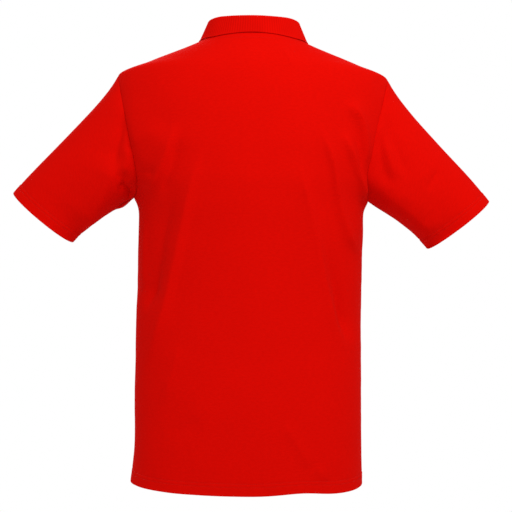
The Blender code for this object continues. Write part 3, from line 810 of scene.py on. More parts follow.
def seam_relief(points, sides, armholes, sizes):
    """The groove along every seam, and the uneven swell of the cloth beside it."""
    side_gap = nearest(points, sides)[1]
    arm_place, arm_gap = nearest(points, armholes)
    relief = -sizes.groove * np.exp(-(np.minimum(side_gap, arm_gap) / SEAM_WIDTH) ** 2)
    height, spacing, seed = SEAM_UNEVEN
    for gap, place, rise in ((arm_gap, arm_place, ARMHOLE_RISE), (side_gap, points, SIDE_RISE)):
        swell = gap / SEAM_SWELL * np.exp(1 - gap / SEAM_SWELL)
        relief += swell * (rise + height * uneven(place, spacing, seed))
    return relief


def drawn_in(points, moved):
    """The moved points, drawn out or tucked in further at the places listed for it."""
    for row in PULLS:
        x, y, z, spread, *move = np.array(row) * MM
        near = np.exp(-np.sum((points - (x, y, z)) ** 2, axis=1) / spread ** 2)
        moved = moved + np.outer(near, move)
    return moved


def draw_skin(sizes):
    """The shirt's four panels, sewn together, with every fold and groove in them."""
    rings, row_of = ring_rows(ring_table())
    back, front = back_grid(rings), front_grid(rings)
    neckline = np.vstack((back[-1, back.shape[1] // 2:], front[-1, 1:front.shape[1] // 2 + 1]))
    sleeve = sleeve_grid(back, front, row_of)
    vent_shift(back, sizes, 1)
    vent_shift(front, sizes, -1)
    cloths = [Cloth("back", back), Cloth("front", front), Cloth("sleeve_left", sleeve, -1),
              Cloth("sleeve_right", sleeve[:, ::-1] * OTHER_SIDE, -1)]
    low, high = row_of["armpit"], row_of["tip"]
    vent_row = int(np.searchsorted(cloths[0].hem_gap[:, 0], sizes.vent))
    sides = np.vstack((back[vent_row:low + 1, [0, -1]].reshape(-1, 3),
                       back[high:, [0, -1]].reshape(-1, 3),
                       sleeve[:, 0], sleeve[:, 0] * OTHER_SIDE))
    armholes = np.vstack((sleeve[0], sleeve[0] * OTHER_SIDE))

    points = np.vstack([cloth.points.reshape(-1, 3) for cloth in cloths])
    ends = np.cumsum([cloth.relief.size for cloth in cloths])
    parts = [slice(end - cloth.relief.size, end) for cloth, end in zip(cloths, ends)]
    quads = np.vstack([grid_quads(*cloth.relief.shape, part.start).reshape(-1, 4)
                       for cloth, part in zip(cloths, parts)])
    keys = np.round(points / SAME_PLACE).astype(np.int64)
    sewn = np.unique(keys, axis=0, return_inverse=True)[1].ravel()

    folds = even_out(np.concatenate([fold_offset(points[part], cloth.name)
                                     for cloth, part in zip(cloths, parts)]), sewn)
    for height, spacing, share, seed in SWELLS:
        folds += height * uneven(points * np.array([1.0, 1.0, share]), spacing, seed)
    moved = points + sewn_normals(points, quads, sewn) * folds[:, None]
    moved = drawn_in(points, moved)
    normals = sewn_normals(moved, quads, sewn)

    relief = seam_relief(points, sides, armholes, sizes)
    for cloth, part in zip(cloths, parts):
        edge = cloth.points[-1]
        if cloth.name in ("back", "front"):
            edge = cloth.points[0]
            cloth.relief += neck_relief(cloth.top_gap, sizes)
        cloth.relief += hem_relief(cloth.hem_gap, edge, sizes)
        relief[part] += cloth.relief.ravel()
    moved += normals * even_out(relief, sewn)[:, None]
    for cloth, part in zip(cloths, parts):
        cloth.points = moved[part].reshape(cloth.points.shape)
        cloth.outward = normals[part].reshape(cloth.points.shape)
    return {cloth.name: cloth for cloth in cloths}, neckline, row_of


def own_names(group):
    """The names of a property group's own values."""
    return [name for name in group.bl_rna.properties.keys() if name not in ("rna_type", "name")]


def shirt_skin(sizes):
    """The skin for these sizes, drawn once for all the pieces that are cut from it."""
    key = tuple(getattr(sizes, name) for name in own_names(sizes))
    if key not in SKINS:
        SKINS[key] = draw_skin(sizes)
    return SKINS[key]


def boundary_edges(quads):
    """The edges that only one face has, in the direction that face runs them."""
    edges = np.concatenate([quads[:, [k, (k + 1) % 4]] for k in range(4)])
    _, inverse, uses = np.unique(np.sort(edges, axis=1), axis=0, return_inverse=True,
                                 return_counts=True)
    return edges[uses[inverse.ravel()] == 1]


def make_shell(name, cloth, outer, wall, rounding, material):
    """A closed shell of cloth from a panel's grid, with its cut edges rounded over.

    outer is how far its outside lies from the skin. wall is its thickness, and rounding the
    radius of its edges, each for the whole panel or for every point of it.
    """
    shape = cloth.relief.shape
    points, outward = cloth.points.reshape(-1, 3), cloth.outward.reshape(-1, 3)
    quads = grid_quads(*shape)[cloth.kept].reshape(-1, 4)
    rims = boundary_edges(quads)
    used = np.unique(quads)
    gap = np.full(len(points), FAR_OFF)
    gap[used] = nearest(points[used], points[np.unique(rims)])[1]
    wall = np.broadcast_to(wall, shape).reshape(-1)
    rounding = np.broadcast_to(rounding, shape).reshape(-1)
    radius = np.minimum(rounding, wall * ROUNDING_SHARE)
    share = 1 - np.clip(gap / radius, 0, 1)
    curl = radius * (1 - np.sqrt(1 - share ** 2))
    outside = points + outward * (outer - curl)[:, None]
    inside = points + outward * (outer - wall + curl)[:, None]
    count = len(points)
    walls = np.column_stack((rims[:, 1], rims[:, 0], rims[:, 0] + count, rims[:, 1] + count))
    faces = np.vstack((quads, quads[:, ::-1] + count, walls))
    keep = np.unique(faces)
    renumber = np.zeros(2 * count, dtype=int)
    renumber[keep] = np.arange(len(keep))
    flat = np.tile(cloth.flat.reshape(-1, 2), (2, 1))[keep]
    return make_piece(name, np.vstack((outside, inside))[keep], renumber[faces], flat, material)


def add_object(name, data):
    """An object in the scene, holding this mesh, lamp or camera."""
    made = bpy.data.objects.new(name, data)
    bpy.context.scene.collection.objects.link(made)
    return made


def make_piece(name, points, faces, flat, material):
    """A mesh object at the origin, with its flat layout in metres as its UV map."""
    mesh = bpy.data.meshes.new(name)
    mesh.from_pydata(points.tolist(), [], faces.tolist())
    mesh.validate()
    corners = np.zeros(len(mesh.loops), dtype=np.int32)
    mesh.loops.foreach_get("vertex_index", corners)
    layer = mesh.uv_layers.new(name="UVMap")
    layer.data.foreach_set("uv", flat[corners].astype(np.float32).ravel())
    mesh.shade_smooth()
    mesh.materials.append(material)
    return add_object(name, mesh)


def form_object(name, form, material):
    """An object made from a bmesh, which is freed."""
    mesh = bpy.data.meshes.new(name)
    form.to_mesh(mesh)
    form.free()
    mesh.materials.append(material)
    return add_object(name, mesh)


def line_object(name, lines):
    """An object of bare lines, each given as a row of places."""
    points, edges = [], []
    for places in lines:
        edges += [(len(points) + i, len(points) + i + 1) for i in range(len(places) - 1)]
        points += places.tolist()
    mesh = bpy.data.meshes.new(name)
    mesh.from_pydata(points, edges, [])
    return add_object(name, mesh)


def keep_result(piece):
    """Make what a piece's modifiers give its plain mesh, and take them off."""
    depsgraph = bpy.context.evaluated_depsgraph_get()
    made = bpy.data.meshes.new_from_object(piece.evaluated_get(depsgraph))
    old = piece.data
    piece.modifiers.clear()
    piece.data = made
    bpy.data.meshes.remove(old)
    made.name = piece.name


def add_node(tree, kind, inputs=None, **settings):
    """A node in a tree, with its settings. An input is a value, a socket or a node.

    A node stands for its own first output.
    """
    made = tree.nodes.new(kind)
    for name, value in settings.items():
        setattr(made, name, value)
    for key, value in (inputs or {}).items():
        if isinstance(value, bpy.types.Node):
            value = value.outputs[0]
        if isinstance(value, bpy.types.NodeSocket):
            tree.links.new(value, made.inputs[key])
        else:
            made.inputs[key].default_value = value
    return made


def maths(tree, operation, *values):
    """A Math node on these values."""
    return add_node(tree, "ShaderNodeMath", dict(enumerate(values)), operation=operation)


def scaled(tree, vector, scale):
    """A vector or a colour made longer or brighter by a scale."""
    return add_node(tree, "ShaderNodeVectorMath", {0: vector, "Scale": scale},
                    operation="SCALE")


def new_tree(name, *sizes):
    """A geometry tree with these sizes and a material as inputs, and its sockets by name."""
    tree = bpy.data.node_groups.new(name, "GeometryNodeTree")
    tree.interface.new_socket("Geometry", in_out="OUTPUT", socket_type="NodeSocketGeometry")
    kinds = {"Geometry": "Geometry", **dict.fromkeys(sizes, "Float"), "Material": "Material"}
    sockets = {key: tree.interface.new_socket(key, in_out="INPUT", socket_type=f"NodeSocket{kind}")
               for key, kind in kinds.items()}
    return tree, tree.nodes.new("NodeGroupInput").outputs, sockets


def end_tree(tree, geometry, source):
    """Finish a tree: make its copies real, and give them the material from its input."""
    real = add_node(tree, "GeometryNodeRealizeInstances", {"Geometry": geometry})
    coloured = add_node(tree, "GeometryNodeSetMaterial",
                        {"Geometry": real, "Material": source["Material"]})
    add_node(tree, "NodeGroupOutput", {"Geometry": coloured})


def apply_tree(piece, tree, sockets, values):
    """Run a geometry tree on a piece, and keep the result as the piece's plain mesh."""
    modifier = piece.modifiers.new(tree.name, "NODES")
    modifier.node_group = tree
    for key, value in values.items():
        modifier[sockets[key].identifier] = value
    keep_result(piece)
    if len(piece.data.polygons) == 0:
        raise RuntimeError(f"{piece.name}: its geometry tree made no faces")


def stitch_tree():
    """Stitches laid end to end along a line, each a little lozenge of thread."""
    tree, source, sockets = new_tree("stitch_row", "Pitch", "Along", "Across", "Height")
    line = add_node(tree, "GeometryNodeMeshToCurve", {"Mesh": source["Geometry"]})
    spots = add_node(tree, "GeometryNodeCurveToPoints",
                     {"Curve": line, "Length": source["Pitch"]}, mode="LENGTH")
    forward = add_node(tree, "FunctionNodeAlignRotationToVector",
                       {"Vector": spots.outputs["Tangent"]}, axis="X")
    up = add_node(tree, "GeometryNodeInputNamedAttribute", {"Name": "up"},
                  data_type="FLOAT_VECTOR")
    upright = add_node(tree, "FunctionNodeAlignRotationToVector",
                       {"Rotation": forward, "Vector": up}, axis="Z", pivot_axis="X")
    bead = add_node(tree, "GeometryNodeMeshUVSphere", {"Segments": 6, "Rings": 4, "Radius": 0.5})
    size = add_node(tree, "ShaderNodeCombineXYZ",
                    {"X": source["Along"], "Y": source["Across"], "Z": source["Height"]})
    stitch = add_node(tree, "GeometryNodeTransform", {"Geometry": bead, "Scale": size})
    rounded = add_node(tree, "GeometryNodeSetShadeSmooth", {"Geometry": stitch})
    placed = add_node(tree, "GeometryNodeInstanceOnPoints",
                      {"Points": spots, "Instance": rounded, "Rotation": upright})
    end_tree(tree, placed, source)
    return tree, sockets


def strand_tree():
    """Round thread along each line of a mesh."""
    tree, source, sockets = new_tree("thread_strand", "Radius")
    line = add_node(tree, "GeometryNodeMeshToCurve", {"Mesh": source["Geometry"]})
    circle = add_node(tree, "GeometryNodeCurvePrimitiveCircle",
                      {"Resolution": 8, "Radius": source["Radius"]})
    tube = add_node(tree, "GeometryNodeCurveToMesh",
                    {"Curve": line, "Profile Curve": circle, "Fill Caps": True})
    end_tree(tree, add_node(tree, "GeometryNodeSetShadeSmooth", {"Geometry": tube}), source)
    return tree, sockets


def rib_tree():
    """Ribs across a collar: its wall swells and sinks evenly along its length."""
    tree, source, sockets = new_tree("rib_relief", "Pitch", "Depth")
    layout = add_node(tree, "GeometryNodeInputNamedAttribute", {"Name": "UVMap"},
                      data_type="FLOAT_VECTOR")
    along = add_node(tree, "ShaderNodeSeparateXYZ", {"Vector": layout})
    ribs = maths(tree, "DIVIDE", along, source["Pitch"])
    wave = maths(tree, "COSINE", maths(tree, "MULTIPLY", ribs, 2 * math.pi))
    ribbed = add_node(tree, "GeometryNodeInputNamedAttribute", {"Name": "ribbed"},
                      data_type="FLOAT")
    height = maths(tree, "MULTIPLY", maths(tree, "MULTIPLY", wave, source["Depth"]), ribbed)
    move = scaled(tree, add_node(tree, "GeometryNodeInputNormal"), height)
    moved = add_node(tree, "GeometryNodeSetPosition",
                     {"Geometry": source["Geometry"], "Offset": move})
    end_tree(tree, moved, source)
    return tree, sockets


def new_material(name, values):
    """A material with these values on its shader's own sockets, its tree and its shader."""
    material = bpy.data.materials.new(name)
    material.use_nodes = True
    shader = material.node_tree.nodes["Principled BSDF"]
    for socket, value in values.items():
        shader.inputs[socket].default_value = value
    return material, material.node_tree, shader


def on_cloth(tree, layout, across, along):
    """The place on the cloth as it was cut, with this many cells to the metre each way."""
    return add_node(tree, "ShaderNodeMapping", {"Vector": layout, "Scale": (across, along, 1)})


def knitted(tree, place, randomness):
    """The raised cells of a knit, lowest in the middle of each."""
    return add_node(tree, "ShaderNodeTexVoronoi",
                    {"Vector": place, "Scale": 1.0, "Randomness": randomness},
                    voronoi_dimensions="2D", feature="F1")


def clouds(tree, scale, detail, distortion=0.0):
    """Soft random cloudiness, right through the shirt."""
    place = add_node(tree, "ShaderNodeTexCoord")
    return add_node(tree, "ShaderNodeTexNoise",
                    {"Vector": place.outputs["Object"], "Scale": scale, "Detail": detail,
                     "Distortion": distortion})


def ranged(tree, value, low, high, least, most):
    """A value that runs from low to high, made to run from least to most."""
    return add_node(tree, "ShaderNodeMapRange",
                    {"Value": value, "From Min": low, "From Max": high, "To Min": least,
                     "To Max": most})


def colour_with(tree, shader, colour, shade):
    """Give a shader its colour, lighter where shade is above 1 and darker below."""
    dyed = scaled(tree, colour, shade)
    tree.links.new(dyed.outputs["Vector"], shader.inputs["Base Color"])


def emboss(tree, shader, height, strength, depth, invert=False):
    """Press a pattern into a shader's surface."""
    bump = add_node(tree, "ShaderNodeBump",
                    {"Height": height, "Strength": strength, "Distance": depth}, invert=invert)
    tree.links.new(bump.outputs["Normal"], shader.inputs["Normal"])


def knit_material(name, colour):
    """A fine cotton pique: rows of small raised cells, painted shade in the gaps between them, a
    soft bloom and a slight unevenness.
    """
    material, tree, shader = new_material(name, {"Roughness": 0.9, **COTTON})
    layout = add_node(tree, "ShaderNodeUVMap", uv_map="UVMap")
    cells = knitted(tree, on_cloth(tree, layout, *PIQUE_CELLS), 0.35)
    tone = ranged(tree, clouds(tree, 20.0, 2.0), *CLOUD_RANGE, 0.99, 1.01)
    drawn = on_cloth(tree, layout, *STREAK_CELLS)
    courses = add_node(tree, "ShaderNodeTexNoise",
                       {"Vector": drawn, "Scale": 1.0, "Detail": 2.0}, noise_dimensions="2D")
    streak = ranged(tree, courses, 0.25, 0.75, 0.965, 1.035)
    # painted shade: the colour is darkened in the low gaps between the knit's raised cells
    painted_gap_shade = ranged(tree, cells, 0.15, 0.75, 1.03, 0.9)
    shade = maths(tree, "MULTIPLY", maths(tree, "MULTIPLY", tone, streak), painted_gap_shade)
    colour_with(tree, shader, colour, shade)
    emboss(tree, shader, cells, 0.35, KNIT_DEPTH, invert=True)
    return material


def rib_material(name, colour, pitch):
    """Flat-knit rib: columns of stitches along each rib, with painted shade down between the ribs.
    """
    material, tree, shader = new_material(name, {"Roughness": 0.92, **COTTON})
    layout = add_node(tree, "ShaderNodeUVMap", uv_map="UVMap")
    along = add_node(tree, "ShaderNodeSeparateXYZ", {"Vector": layout})
    wave = maths(tree, "COSINE", maths(tree, "MULTIPLY", along, 2 * math.pi / pitch))
    # painted shade: the colour is darkened down in the valleys between the collar's ribs
    rib_valley_shade = ranged(tree, wave, -1.0, 0.4, 0.88, 1.0)
    loops = knitted(tree, on_cloth(tree, layout, RIB_WALES / pitch, RIB_COURSES), 0.25)
    tone = ranged(tree, clouds(tree, 40.0, 3.0), *CLOUD_RANGE, 0.96, 1.03)
    colour_with(tree, shader, colour, maths(tree, "MULTIPLY", tone, rib_valley_shade))
    emboss(tree, shader, loops, 0.3, KNIT_DEPTH, invert=True)
    return material


def thread_material(name, colour):
    """Spun polyester thread: a faint gloss, and the twist of its plies."""
    material, tree, shader = new_material(name, {"Roughness": 0.6, "Specular IOR Level": 0.15})
    twist = clouds(tree, 1600.0, 2.0)
    colour_with(tree, shader, colour, ranged(tree, twist, *CLOUD_RANGE, 0.85, 1.05))
    emboss(tree, shader, twist, 0.4, PLY_DEPTH)
    return material


def button_material(name, colour):
    """Dyed pearly resin: faint cloudy streaks under a clean polish."""
    material, tree, shader = new_material(name, {
        "Specular IOR Level": 0.2, "Coat Weight": 0.05, "Coat Roughness": 0.12})
    cloud = clouds(tree, 260.0, 4.0, 1.4)
    colour_with(tree, shader, colour, ranged(tree, cloud, *CLOUD_RANGE, 0.82, 1.25))
    gloss = ranged(tree, cloud, *CLOUD_RANGE, 0.34, 0.46)
    tree.links.new(gloss.outputs["Result"], shader.inputs["Roughness"])
    return material


def material_named(name, make, *values):
    """The material of that name, made once."""
    return bpy.data.materials.get(name) or make(name, *values)


def knit(context):
    """The knit of the panels, the sleeves and the placket."""
    return material_named("cotton_pique", knit_material, tuple(context.scene.polo_colours.knit))


def thread(context):
    """The thread that everything is sewn with."""
    return material_named("sewing_thread", thread_material,
                          tuple(context.scene.polo_colours.thread))


def finish_piece(piece, slot, *nodes):
    """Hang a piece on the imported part, in place of the nodes it stands for."""
    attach(piece, BODY)
    if nodes:
        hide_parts(*nodes)


def panel_shell(name, cloth, sizes, material):
    """A panel's shell, thicker where its hem is turned up."""
    turned = smooth_step(hem_rows(sizes)[1] + TURNED_PAST - cloth.hem_gap, 0, TURNED_EDGE)
    wall = sizes.cloth + (sizes.hem_wall - sizes.cloth) * turned
    rounding = SEAM_ROUNDING + (HEM_ROUNDING - SEAM_ROUNDING) * turned
    return make_shell(name, cloth, 0.0, wall, rounding, material)


def line_at(cloth, gap, distance, lift=THREAD_LIFT, keep=None):
    """A line on a panel at one distance from an edge, with the direction out of the cloth."""
    places, directions = [], []
    for i in range(gap.shape[1]) if keep is None else keep:
        order = np.argsort(gap[:, i])
        at = gap[order, i]
        place = read_at([distance], at, cloth.points[order, i])[0]
        up = read_at([distance], at, cloth.outward[order, i])[0]
        places.append(place + up * lift)
        directions.append(up / np.linalg.norm(up))
    return np.array(places), np.array(directions)


def hem_lines(cloth, sizes):
    """The two rows of stitching round a panel's hem."""
    return [line_at(cloth, cloth.hem_gap, distance) for distance in hem_rows(sizes)]


def sew(name, lines, sizes, material, pitch=None, along=None, across=None):
    """One object with the stitches of several lines, each given as points and directions."""
    piece = line_object(name, [places for places, _ in lines])
    ups = np.vstack([directions for _, directions in lines])
    up = piece.data.attributes.new("up", "FLOAT_VECTOR", "POINT")
    up.data.foreach_set("vector", ups.astype(np.float32).ravel())
    tree, sockets = stitch_tree()
    apply_tree(piece, tree, sockets, {
        "Pitch": pitch or sizes.stitch + STITCH_GAP, "Along": along or sizes.stitch,
        "Across": across or sizes.thread, "Height": sizes.thread * STITCH_HEIGHT,
        "Material": material})
    return piece


class POLO_OT_back(bpy.types.Operator):
    """Build the back panel, with its hem and neck stitching"""

    bl_idname = "polo.back"
    bl_label = "Back"

    def execute(self, context):
        sizes = context.scene.polo_sizes
        cloth = shirt_skin(sizes)[0]["back"]
        piece = panel_shell("back_panel", cloth, sizes, knit(context))
        lines = hem_lines(cloth, sizes) + [line_at(cloth, cloth.top_gap, sizes.neck_line)]
        seams = sew("back_stitching", lines, sizes, thread(context))
        finish_piece(piece, "knit", "back")
        finish_piece(seams, "knit")
        return {"FINISHED"}


class POLO_OT_front(bpy.types.Operator):
    """Build the front panel, with the slot for its placket"""

    bl_idname = "polo.front"
    bl_label = "Front"

    def execute(self, context):
        sizes = context.scene.polo_sizes
        cloths, _, row_of = shirt_skin(sizes)
        cloth = cloths["front"]
        first, last = slot_columns(cloth)
        cloth.kept[row_of[PLACKET_BOTTOM]:, first:last] = False
        piece = panel_shell("front_panel", cloth, sizes, knit(context))
        neck = cloth.top_gap
        lines = hem_lines(cloth, sizes)
        for side in (range(first), range(last + 1, neck.shape[1])):
            lines.append(line_at(cloth, neck, sizes.neck_line, keep=side))
        seams = sew("front_stitching", lines, sizes, thread(context))
        finish_piece(piece, "knit", "front")
        finish_piece(seams, "knit")
        return {"FINISHED"}


def slot_columns(cloth):
    """The first and last columns of the front's slot."""
    middle = cloth.relief.shape[1] // 2
    half = SLOT_COLUMNS + len(EDGE_LINES) - 1
    return middle - half, middle + half


def placket_strip(front, row_of):
    """The placket's share of the front's grid, dented along its edge stitching."""
    foot = row_of[PLACKET_BOTTOM]
    first, last = slot_columns(front)
    strip = copy.copy(front)
    strip.kept = np.zeros_like(front.kept)
    strip.kept[foot:, first:last] = True
    across, along = front.across, front.hem_gap
    gap = np.minimum(across - across[:, first:first + 1], across[:, last:last + 1] - across)
    gap = np.minimum(gap, along - along[foot])
    dents = stitch_grooves(gap, (EDGE_LINES[PLACKET_SEAM],), *PLACKET_DENT)
    strip.points = front.points + front.outward * dents[:, :, None]
    return strip


def placket_lines(strip, row_of, sizes):
    """The stitching round the placket's edge, and the line that closes its box."""
    foot, (first, last) = row_of[PLACKET_BOTTOM], slot_columns(strip)
    low, left, right = foot + PLACKET_SEAM, first + PLACKET_SEAM, last - PLACKET_SEAM
    rows, columns = np.arange(low, strip.relief.shape[0]), np.arange(left, right + 1)
    sides = len(rows) - 1
    row = np.concatenate((rows[:0:-1], np.full(len(columns), low), rows[1:]))
    column = np.concatenate((np.full(sides, left), columns, np.full(sides, right)))
    lift = sizes.placket_stand + THREAD_LIFT
    ups = strip.outward[row, column]
    box = line_at(strip, strip.hem_gap - strip.hem_gap[foot], sizes.placket_box, lift, columns)
    return [(strip.points[row, column] + ups * lift, ups), box]


def middle_at(front, heights):
    """Places down the middle of the front at these heights, and the way out of the cloth."""
    middle = front.relief.shape[1] // 2
    line = front.points[:, middle]
    places = read_at(heights, line[:, 2], line)
    ups = read_at(heights, line[:, 2], front.outward[:, middle])
    return places, ups / np.linalg.norm(ups, axis=1)[:, None]


def button_height(node):
    """How high up the front a button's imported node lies."""
    low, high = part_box(node)
    return (low[2] + high[2]) / 2


def buttonhole_lines(front, height, sizes):
    """The two long sides of an upright buttonhole, and the bar across each of its ends."""
    low, high = height - sizes.buttonhole / 2, height + sizes.buttonhole / 2
    rise = sizes.placket_stand + THREAD_LIFT
    lines = []
    for side in (-BUTTONHOLE_HALF, BUTTONHOLE_HALF):
        places, ups = middle_at(front, np.linspace(low, high, BUTTONHOLE_PLACES))
        lines.append((places + ups * rise + np.array([side, 0.0, 0.0]), ups))
    for end in (low, high):
        place, up = middle_at(front, [end])
        across = np.outer(np.linspace(-BAR_HALF, BAR_HALF, BAR_PLACES), (1.0, 0.0, 0.0))
        lines.append((place + up * rise + across, np.repeat(up, BAR_PLACES, axis=0)))
    return lines


class POLO_OT_placket(bpy.types.Operator):
    """Build the two placket strips, with their stitching and buttonholes"""

    bl_idname = "polo.placket"
    bl_label = "Placket"

    def execute(self, context):
        sizes = context.scene.polo_sizes
        cloths, _, row_of = shirt_skin(sizes)
        strip = placket_strip(cloths["front"], row_of)
        rise = sizes.placket_stand
        top = make_shell("top_placket", strip, rise, sizes.placket_wall, PLACKET_ROUNDING,
                         knit(context))
        under = make_shell("under_placket", strip, rise - sizes.placket_wall - PLACKET_GAP,
                           sizes.cloth, PLACKET_ROUNDING, knit(context))
        seams = sew("placket_stitching", placket_lines(strip, row_of, sizes), sizes,
                    thread(context))
        holes = []
        for node in BUTTONS:
            holes += buttonhole_lines(cloths["front"], button_height(node), sizes)
        bound = sew("buttonhole_stitching", holes, sizes, thread(context), *BUTTONHOLE_STITCH)
        for piece, node in ((top, "placket_top"), (under, "placket_under")):
            finish_piece(piece, "knit", node)
        for piece in (seams, bound):
            finish_piece(piece, "knit")
        return {"FINISHED"}


def button_blank(name, sizes, material):
    """A button standing on the XY plane: a dished disc with a rounded rim and four holes."""
    profile = np.array(BUTTON_PROFILE) * (sizes.button_across / 2, sizes.button_thick)
    form = bmesh.new()
    angles = np.linspace(0, 2 * math.pi, BUTTON_SEGMENTS, endpoint=False)
    rings = [[form.verts.new((radius * math.cos(a), radius * math.sin(a), height))
              for a in angles] for radius, height in profile]
    for lower, upper in zip(rings, rings[1:]):
        for i in range(BUTTON_SEGMENTS):
            j = (i + 1) % BUTTON_SEGMENTS
            form.faces.new((lower[i], lower[j], upper[j], upper[i]))
    form.faces.new(rings[0][::-1])
    form.faces.new(rings[-1])
    disc = form_object(name, form, material)
    form = bmesh.new()
    for x in (-HOLE_PLACE, HOLE_PLACE):
        for y in (-HOLE_PLACE, HOLE_PLACE):
            bmesh.ops.create_cone(form, cap_ends=True, segments=HOLE_SEGMENTS,
                                  radius1=HOLE_RADIUS, radius2=HOLE_RADIUS,
                                  depth=DRILL_LENGTH * sizes.button_thick,
                                  matrix=Matrix.Translation((x, y, 0)))
    drill = form_object("drill", form, material)
    cut = disc.modifiers.new("holes", "BOOLEAN")
    cut.object = drill
    cut.operation = "DIFFERENCE"
    cut.solver = "EXACT"
    keep_result(disc)
    bpy.data.meshes.remove(drill.data)
    disc.data.shade_smooth()
    disc.data.set_sharp_from_angle(angle=SHARP_ANGLE)
    if len(disc.data.polygons) < BUTTON_SEGMENTS * len(BUTTON_PROFILE):
        raise RuntimeError(f"{name}: its holes weren't cut")
    return disc


def strand_paths(sizes):
    """The threads of a button on the XY plane, up through one hole and down through the next."""
    well = BUTTON_PROFILE[-1][1] * sizes.button_thick
    turn = np.linspace(0, math.pi, STRAND_PLACES)
    x = -HOLE_PLACE * np.cos(turn)
    x = np.concatenate((x[:1], x, x[-1:]))
    z = well - STRAND_SUNK + STRAND_ARCH * np.sin(turn)
    z = np.concatenate(([-sizes.button_gap], z, [-sizes.button_gap]))
    return [np.column_stack((x, np.full(len(x), bar + shift), z))
            for bar in (-HOLE_PLACE, HOLE_PLACE) for shift in STRANDS]


def button_stand(front, node, sizes):
    """What turns and moves a button from the XY plane to its place on the placket."""
    place, up = (item[0] for item in middle_at(front, [button_height(node)]))
    across = np.cross((0.0, 0.0, 1.0), up)
    across /= np.linalg.norm(across)
    axes = Matrix(np.column_stack((across, np.cross(up, across), up)).tolist())
    base = Vector(place + up * (sizes.placket_stand + sizes.button_gap))
    return Matrix.Translation(base) @ axes.to_4x4()


class POLO_OT_buttons(bpy.types.Operator):
    """Build the buttons, sewn on through their four holes"""

    bl_idname = "polo.buttons"
    bl_label = "Buttons"

    def execute(self, context):
        sizes = context.scene.polo_sizes
        front = shirt_skin(sizes)[0]["front"]
        resin = material_named("dyed_resin", button_material,
                               tuple(context.scene.polo_colours.button))
        tree, sockets = strand_tree()
        for node in BUTTONS:
            stand = button_stand(front, node, sizes)
            disc = button_blank(f"{node}_disc", sizes, resin)
            disc.data.transform(stand)
            strands = line_object(f"{node}_thread", strand_paths(sizes))
            strands.data.transform(stand)
            apply_tree(strands, tree, sockets, {"Radius": STRAND_RADIUS,
                                                "Material": thread(context)})
            finish_piece(disc, "button", node)
            finish_piece(strands, "knit")
        return {"FINISHED"}


class POLO_OT_sleeves(bpy.types.Operator):
    """Build both sleeves, with their turned and stitched hems"""

    bl_idname = "polo.sleeves"
    bl_label = "Sleeves"

    def execute(self, context):
        sizes = context.scene.polo_sizes
        cloths = shirt_skin(sizes)[0]
        for side in ("left", "right"):
            cloth = cloths[f"sleeve_{side}"]
            piece = panel_shell(f"{side}_sleeve", cloth, sizes, knit(context))
            seams = sew(f"{side}_sleeve_stitching", hem_lines(cloth, sizes), sizes,
                        thread(context))
            finish_piece(piece, "knit", f"sleeve_{side}")
            finish_piece(seams, "knit")
        return {"FINISHED"}


def collar_curves(around):
    """The collar's fold and its lower edge on the -X side, at each place round the neck."""
    table = {name: np.array([row[i] for row in COLLAR]) for i, name in enumerate(COLLAR_COLUMNS)}
    knots = np.concatenate(([-table["around"][1]], table["around"]))
    curves = []
    for part in ("fold", "edge"):
        columns = []
        for axis, flip in (("x", -1), ("y", 1), ("z", 1)):
            values = table[f"{part}_{axis}"]
            past_centre = np.concatenate(([flip * values[1]], values)) * MM
            columns.append(smooth_column(knots, past_centre, around))
        curves.append(np.column_stack(columns) * OTHER_SIDE)
    return curves


def collar_grid(neckline):
    """The collar's points from its lower edge, over its fold, to its seam at the neck."""
    length = lengths(neckline)[-1]
    at = spaced(0, length, COLLAR_HALF_COLUMNS, near_start=NO_LINES)
    seam = read_curve(neckline, at) + np.array([0.0, 0.0, COLLAR_SEAM])
    fold, edge = collar_curves(at / length)
    seam[:, 0] = np.minimum(seam[:, 0], -COLLAR_END_GAP * smooth_step(at / length, *COLLAR_END))
    out = (edge - fold) * np.array([1.0, 1.0, 0.0])
    out /= np.linalg.norm(out, axis=1)[:, None]
    up = np.array([0.0, 0.0, 1.0])
    stand_top, hang = fold - out * FOLD_RADIUS, fold + out * FOLD_RADIUS
    rows = [seam + (stand_top - seam) * i / STAND_STEPS for i in range(STAND_STEPS)]
    for turn in (math.pi * i / FOLD_STEPS for i in range(FOLD_STEPS + 1)):
        rows.append(fold + FOLD_RADIUS * (up * math.sin(turn) - out * math.cos(turn)))
    rows += [hang + (edge - hang) * i / FALL_STEPS for i in range(1, FALL_STEPS + 1)]
    curves = np.array(rows)
    half = np.stack([read_curve(curves[:, i], spaced(0, end, COLLAR_ROWS))
                     for i, end in enumerate(arcs(curves, 0)[-1])], axis=1)
    grid = np.concatenate((half[:, :0:-1] * OTHER_SIDE, half), axis=1)
    return grid[::-1]


def smooth_grid(values, passes):
    """Average each value of a grid with its neighbours, several times over."""
    for _ in range(passes):
        padded = np.pad(values, ((1, 1), (1, 1), (0, 0)), mode="edge")
        values = (padded[1:-1, :-2] + padded[1:-1, 2:] + padded[:-2, 1:-1] + padded[2:, 1:-1]
                  + 2 * values) / 6
    return values


def lift_clear(grid, cloths):
    """Move the collar's fall outwards wherever it would come too close to the shirt."""
    points, quads, count = [], [], 0
    for cloth in (cloths["back"], cloths["front"]):
        points += cloth.points.reshape(-1, 3).tolist()
        quads += grid_quads(*cloth.relief.shape, count).reshape(-1, 4).tolist()
        count += cloth.relief.size
    tree = BVHTree.FromPolygons(points, quads)
    for passes in LIFT_PASSES:
        shift = np.zeros_like(grid)
        for row in range(int(grid.shape[0] * FALL_SHARE)):
            for column in range(grid.shape[1]):
                place, normal, _, _ = tree.find_nearest(grid[row, column])
                height = (Vector(grid[row, column]) - place).dot(normal)
                if -COLLAR_BURIED < height < COLLAR_CLEARANCE:
                    shift[row, column] = np.array(normal) * (COLLAR_CLEARANCE - height)
        grid = grid + smooth_grid(shift, passes)
    return grid


